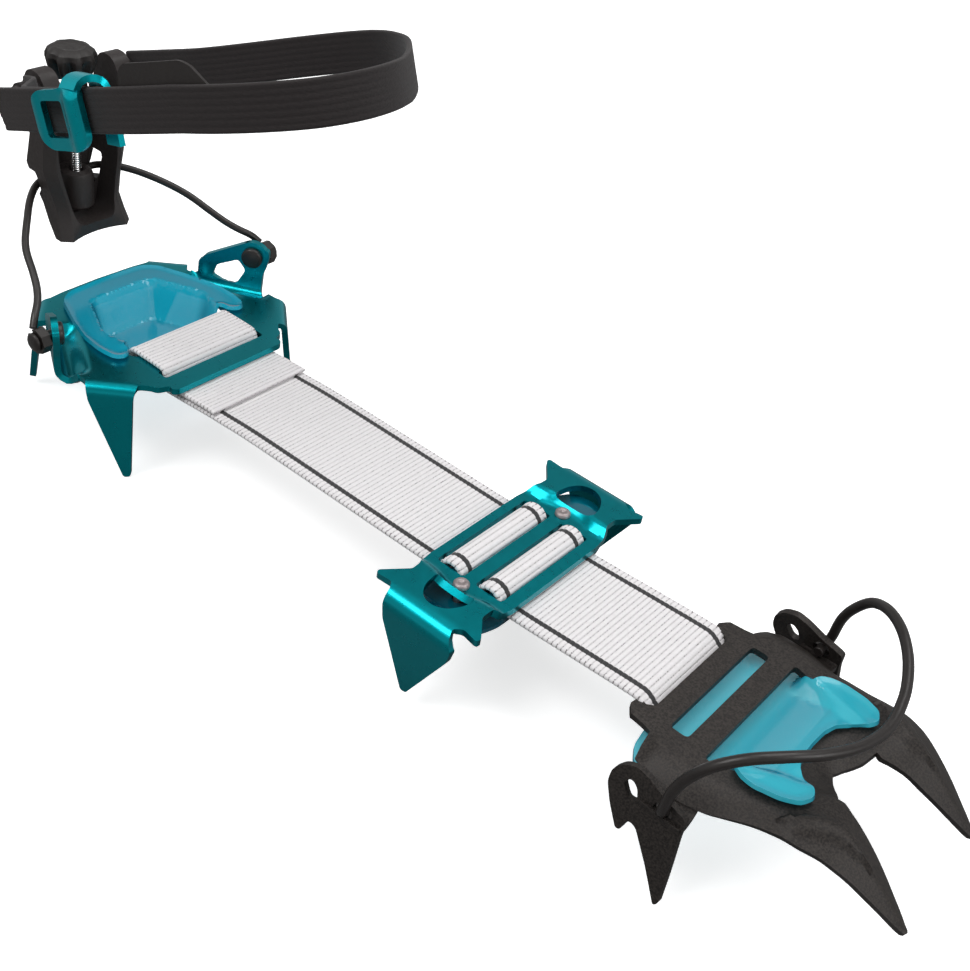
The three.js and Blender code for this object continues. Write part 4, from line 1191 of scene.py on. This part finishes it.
def housing_shell():
    sections = []
    for z, half, front, rear in reversed(HOUSING_LEVELS):
        corners = ((front, half - 3), (front - FRONT_CHAMFER, half), (rear + SIDE_CHAMFER, half),
                   (rear, half - SIDE_CHAMFER))
        ring = [(x, y, z) for x, y in corners]
        ring += [(x, -y, z) for x, y in reversed(corners)]
        sections.append(ring[-1:] + ring[:-1])
    return loft(sections)


def housing():
    """Hollow lever body, open to the front, with two lugs that carry the ankle strap."""
    obj = make_object("lever_housing_shell", *housing_shell(), PLASTIC)
    window = rounded(symmetric_rows([(66, 10.8), (41, 11), (30, 8.6), (21.2, 6.8)]), 3.6, 6)
    cavity = rounded(symmetric_rows([(67, 10.6), (41, 10.8), (29.2, 8.2)]), 2.4, 4)
    side_port = rounded([(-194.5, 29.8), (-188.4, 29.8), (-188.4, 38.6), (-194.5, 38.6)], 1.2)
    cuts = (
        slab(window, -188.4, -170, "x"),
        slab(cavity, -194.6, -186, "x"),
        prism(circle(LEVER_X, 0, 5.7, 40), 21.6, 64),
        slab(side_port, -30, -8, "y"),
        slab(side_port, 8, 30, "y"),
        prism(circle(-152.6, 0, 26.2, 64), 10, 27),
    )
    for cut in cuts:
        boolean(obj, cut)
    lug = rounded([
        (-191.6, 56), (-191, 66.4), (-187.6, 72.6), (-181.8, 72.6), (-178.2, 67), (-178.6, 60), (-181.4, 54),
    ], 2.4)
    axle = circle(LUG.x, LUG.z, 1.7, 18)
    cap = circle(LUG.x, LUG.z, 3.3, 24)
    for side in SIDES:
        for outline, inner, outer in ((lug, 10.2, 15.8), (axle, 15, 21.4), (cap, 21, 22.4)):
            boolean(obj, slab(outline, *sorted((inner * side, outer * side)), "y"), "UNION")
    place_piece(bevel(obj, 0.55, 3, 30), "housing", "black_plastic", "lever_housing")


def knob():
    """Domed thumb knob with tapering flutes round its skirt."""
    profile = [(0.01, 66.2), (4.6, 66.2), (6.0, 67.2), (6.9, 68.8), (7.6, 70.8), (7.9, 72.2), (7.8, 73.4),
               (7.1, 74.8), (5.9, 75.7), (4.6, 76.1), (3.4, 75.9), (2.6, 75.9), (0.01, 76.0)]

    def flute(angle, z):
        depth = 0.3 * smoothstep((75.4 - z) / 5.5) + 0.05
        wave = abs(math.cos(4.5 * angle))
        return 1 - depth * max(0, wave - 0.45) / 0.55

    obj = make_object("adjuster_knob_fluted", *lathe(profile, 108, (LEVER_X, 0), flute), KNOB, 24)
    place_piece(bevel(obj, 0.12, 2, 30), "knob", "black_plastic", "adjuster_knob")


def screw():
    """Fine threaded screw with a plain collar under the knob."""
    rows = [(0.01, 25.6), (1.3, 25.8)]
    z = 26.4
    while z < 47:
        rows += [(1.62, z), (1.62, z + 0.2), (1.38, z + 0.4), (1.38, z + 0.55)]
        z += 0.75
    rows += [(1.66, z), (1.66, 59), (3.7, 59.1), (3.8, 61.2), (2.4, 61.4), (2.4, 66.2), (0.01, 66.2)]
    obj = make_object("adjuster_screw_threaded", *lathe(rows, 28, (LEVER_X, 0)), SCREW, 40)
    place_piece(obj, "knob", "bright_screw", "adjuster_screw")


def nut():
    """Barrel round the screw, and the block behind it that holds the cable."""
    profile = [(2.0, 23.4), (4.2, 23.4), (5.2, 24.4), (5.2, 34.4),
               (4.8, 35.6), (3.0, 36.3), (2.3, 36.1), (2.0, 35.6)]
    barrel = lathe(profile, 36, (LEVER_X, 0), closed=True)
    rear, front = CABLE_X - 2.4, CABLE_X + 2.6
    block = prism(rounded([(rear, -3.6), (front, -3.6), (front, 3.6), (rear, 3.6)], 0.8),
                  CABLE_Z - 2.8, CABLE_Z + 2.8)
    obj = make_object("barrel_nut_turned", *merge(barrel, block), PLASTIC, 35)
    place_piece(bevel(obj, 0.2, 2, 35), "carriage", "black_plastic", "barrel_nut")


heel_frame()
heel_tray()
heel_rivets()
linking_strap()
mid_plate()
mid_rivets()
mid_under_plate()
front_frame()
front_soft_plate()
toe_bail()
heel_cable()
ankle_straps()
label_tab()
buckle()
housing()
knob()
screw()
nut()
for name in ("cable_eye_left", "cable_eye_right"):
    keep_node(name, BLACK, 0.2)


# ------------------------------------------------------------------ stage, light and camera
def floor():
    low = cad_box[0][2]
    size = 3.0
    corners = [(-size, -size, low), (size, -size, low), (size, size, low), (-size, size, low)]
    mesh = bpy.data.meshes.new("floor")
    mesh.from_pydata(corners, [], [(0, 1, 2, 3)])
    obj = bpy.data.objects.new("floor", mesh)
    bpy.context.scene.collection.objects.link(obj)
    n = Nodes("floor")
    seen = n.add("ShaderNodeLightPath").outputs["Is Camera Ray"]
    n.set(Base_Color=n.blend(seen, (0.2, 0.2, 0.2), (0.93, 0.93, 0.93)), Roughness=0.9)
    n.set(Emission_Color=(1, 1, 1, 1), Emission_Strength=n.math("MULTIPLY", seen, 0.62))
    mesh.materials.append(n.material)


def world():
    w = bpy.data.worlds.new("studio")
    w.use_nodes = True
    tree = w.node_tree
    bg = tree.nodes["Background"]
    coord = tree.nodes.new("ShaderNodeTexCoord")
    split = tree.nodes.new("ShaderNodeSeparateXYZ")
    ramp = tree.nodes.new("ShaderNodeValToRGB")
    tree.links.new(coord.outputs["Generated"], split.inputs[0])
    tree.links.new(split.outputs["Z"], ramp.inputs["Fac"])
    stops = [(0.0, 0.6), (0.3, 0.5), (0.46, 0.42), (0.66, 0.2), (0.78, 0.5), (1.0, 0.72)]
    ramp.color_ramp.elements.remove(ramp.color_ramp.elements[0])
    for i, (at, level) in enumerate(stops):
        element = ramp.color_ramp.elements[0] if i == 0 else ramp.color_ramp.elements.new(at)
        element.position = at
        element.color = (level, level, level, 1)
    light = tree.nodes.new("ShaderNodeLightPath")
    mixer = tree.nodes.new("ShaderNodeMix")
    mixer.data_type = "RGBA"
    tree.links.new(light.outputs["Is Camera Ray"], mixer.inputs["Factor"])
    tree.links.new(ramp.outputs["Color"], mixer.inputs["A"])
    mixer.inputs["B"].default_value = (1, 1, 1, 1)
    tree.links.new(mixer.outputs["Result"], bg.inputs["Color"])
    bg.inputs["Strength"].default_value = 1.0
    bpy.context.scene.world = w


def area(name, place, target, size, power):
    data = bpy.data.lights.new(name, "AREA")
    data.size = size
    data.energy = power
    obj = bpy.data.objects.new(name, data)
    obj.location = place
    obj.rotation_euler = (Vector(target) - Vector(place)).to_track_quat("-Z", "Y").to_euler()
    bpy.context.scene.collection.objects.link(obj)


CAMERA_PLACE = Vector((146.77, -241.16, 238.38))
CAMERA_ANGLES = (33.526, 37.717, -10.291)
CAMERA_LENS = 50.03


def camera():
    azimuth, elevation, roll = (math.radians(a) for a in CAMERA_ANGLES)
    back = Vector((math.sin(azimuth) * math.cos(elevation), -math.cos(azimuth) * math.cos(elevation),
                   math.sin(elevation)))
    right = (-back).cross(Vector((0, 0, 1))).normalized()
    down = (-back).cross(right)
    right, down = (math.cos(roll) * right + math.sin(roll) * down,
                   -math.sin(roll) * right + math.cos(roll) * down)
    data = bpy.data.cameras.new("camera")
    data.sensor_width = 36
    data.lens = CAMERA_LENS
    data.clip_start = 0.01
    obj = bpy.data.objects.new("camera", data)
    rotation = Matrix((right, -down, back)).transposed().to_4x4()
    obj.matrix_world = Matrix.Translation(CAMERA_PLACE * MM) @ rotation
    bpy.context.scene.collection.objects.link(obj)
    bpy.context.scene.camera = obj


floor()
world()
area("key", (-0.35, -0.55, 0.9), (-0.03, 0, 0), 0.5, 4.2)
area("top", (0.1, 0.35, 1.0), (-0.03, 0, 0), 0.6, 3.0)
area("side", (0.8, 0.1, 0.5), (0.05, 0, 0), 0.4, 1.6)
camera()
bpy.context.scene.view_settings.view_transform = "Standard"
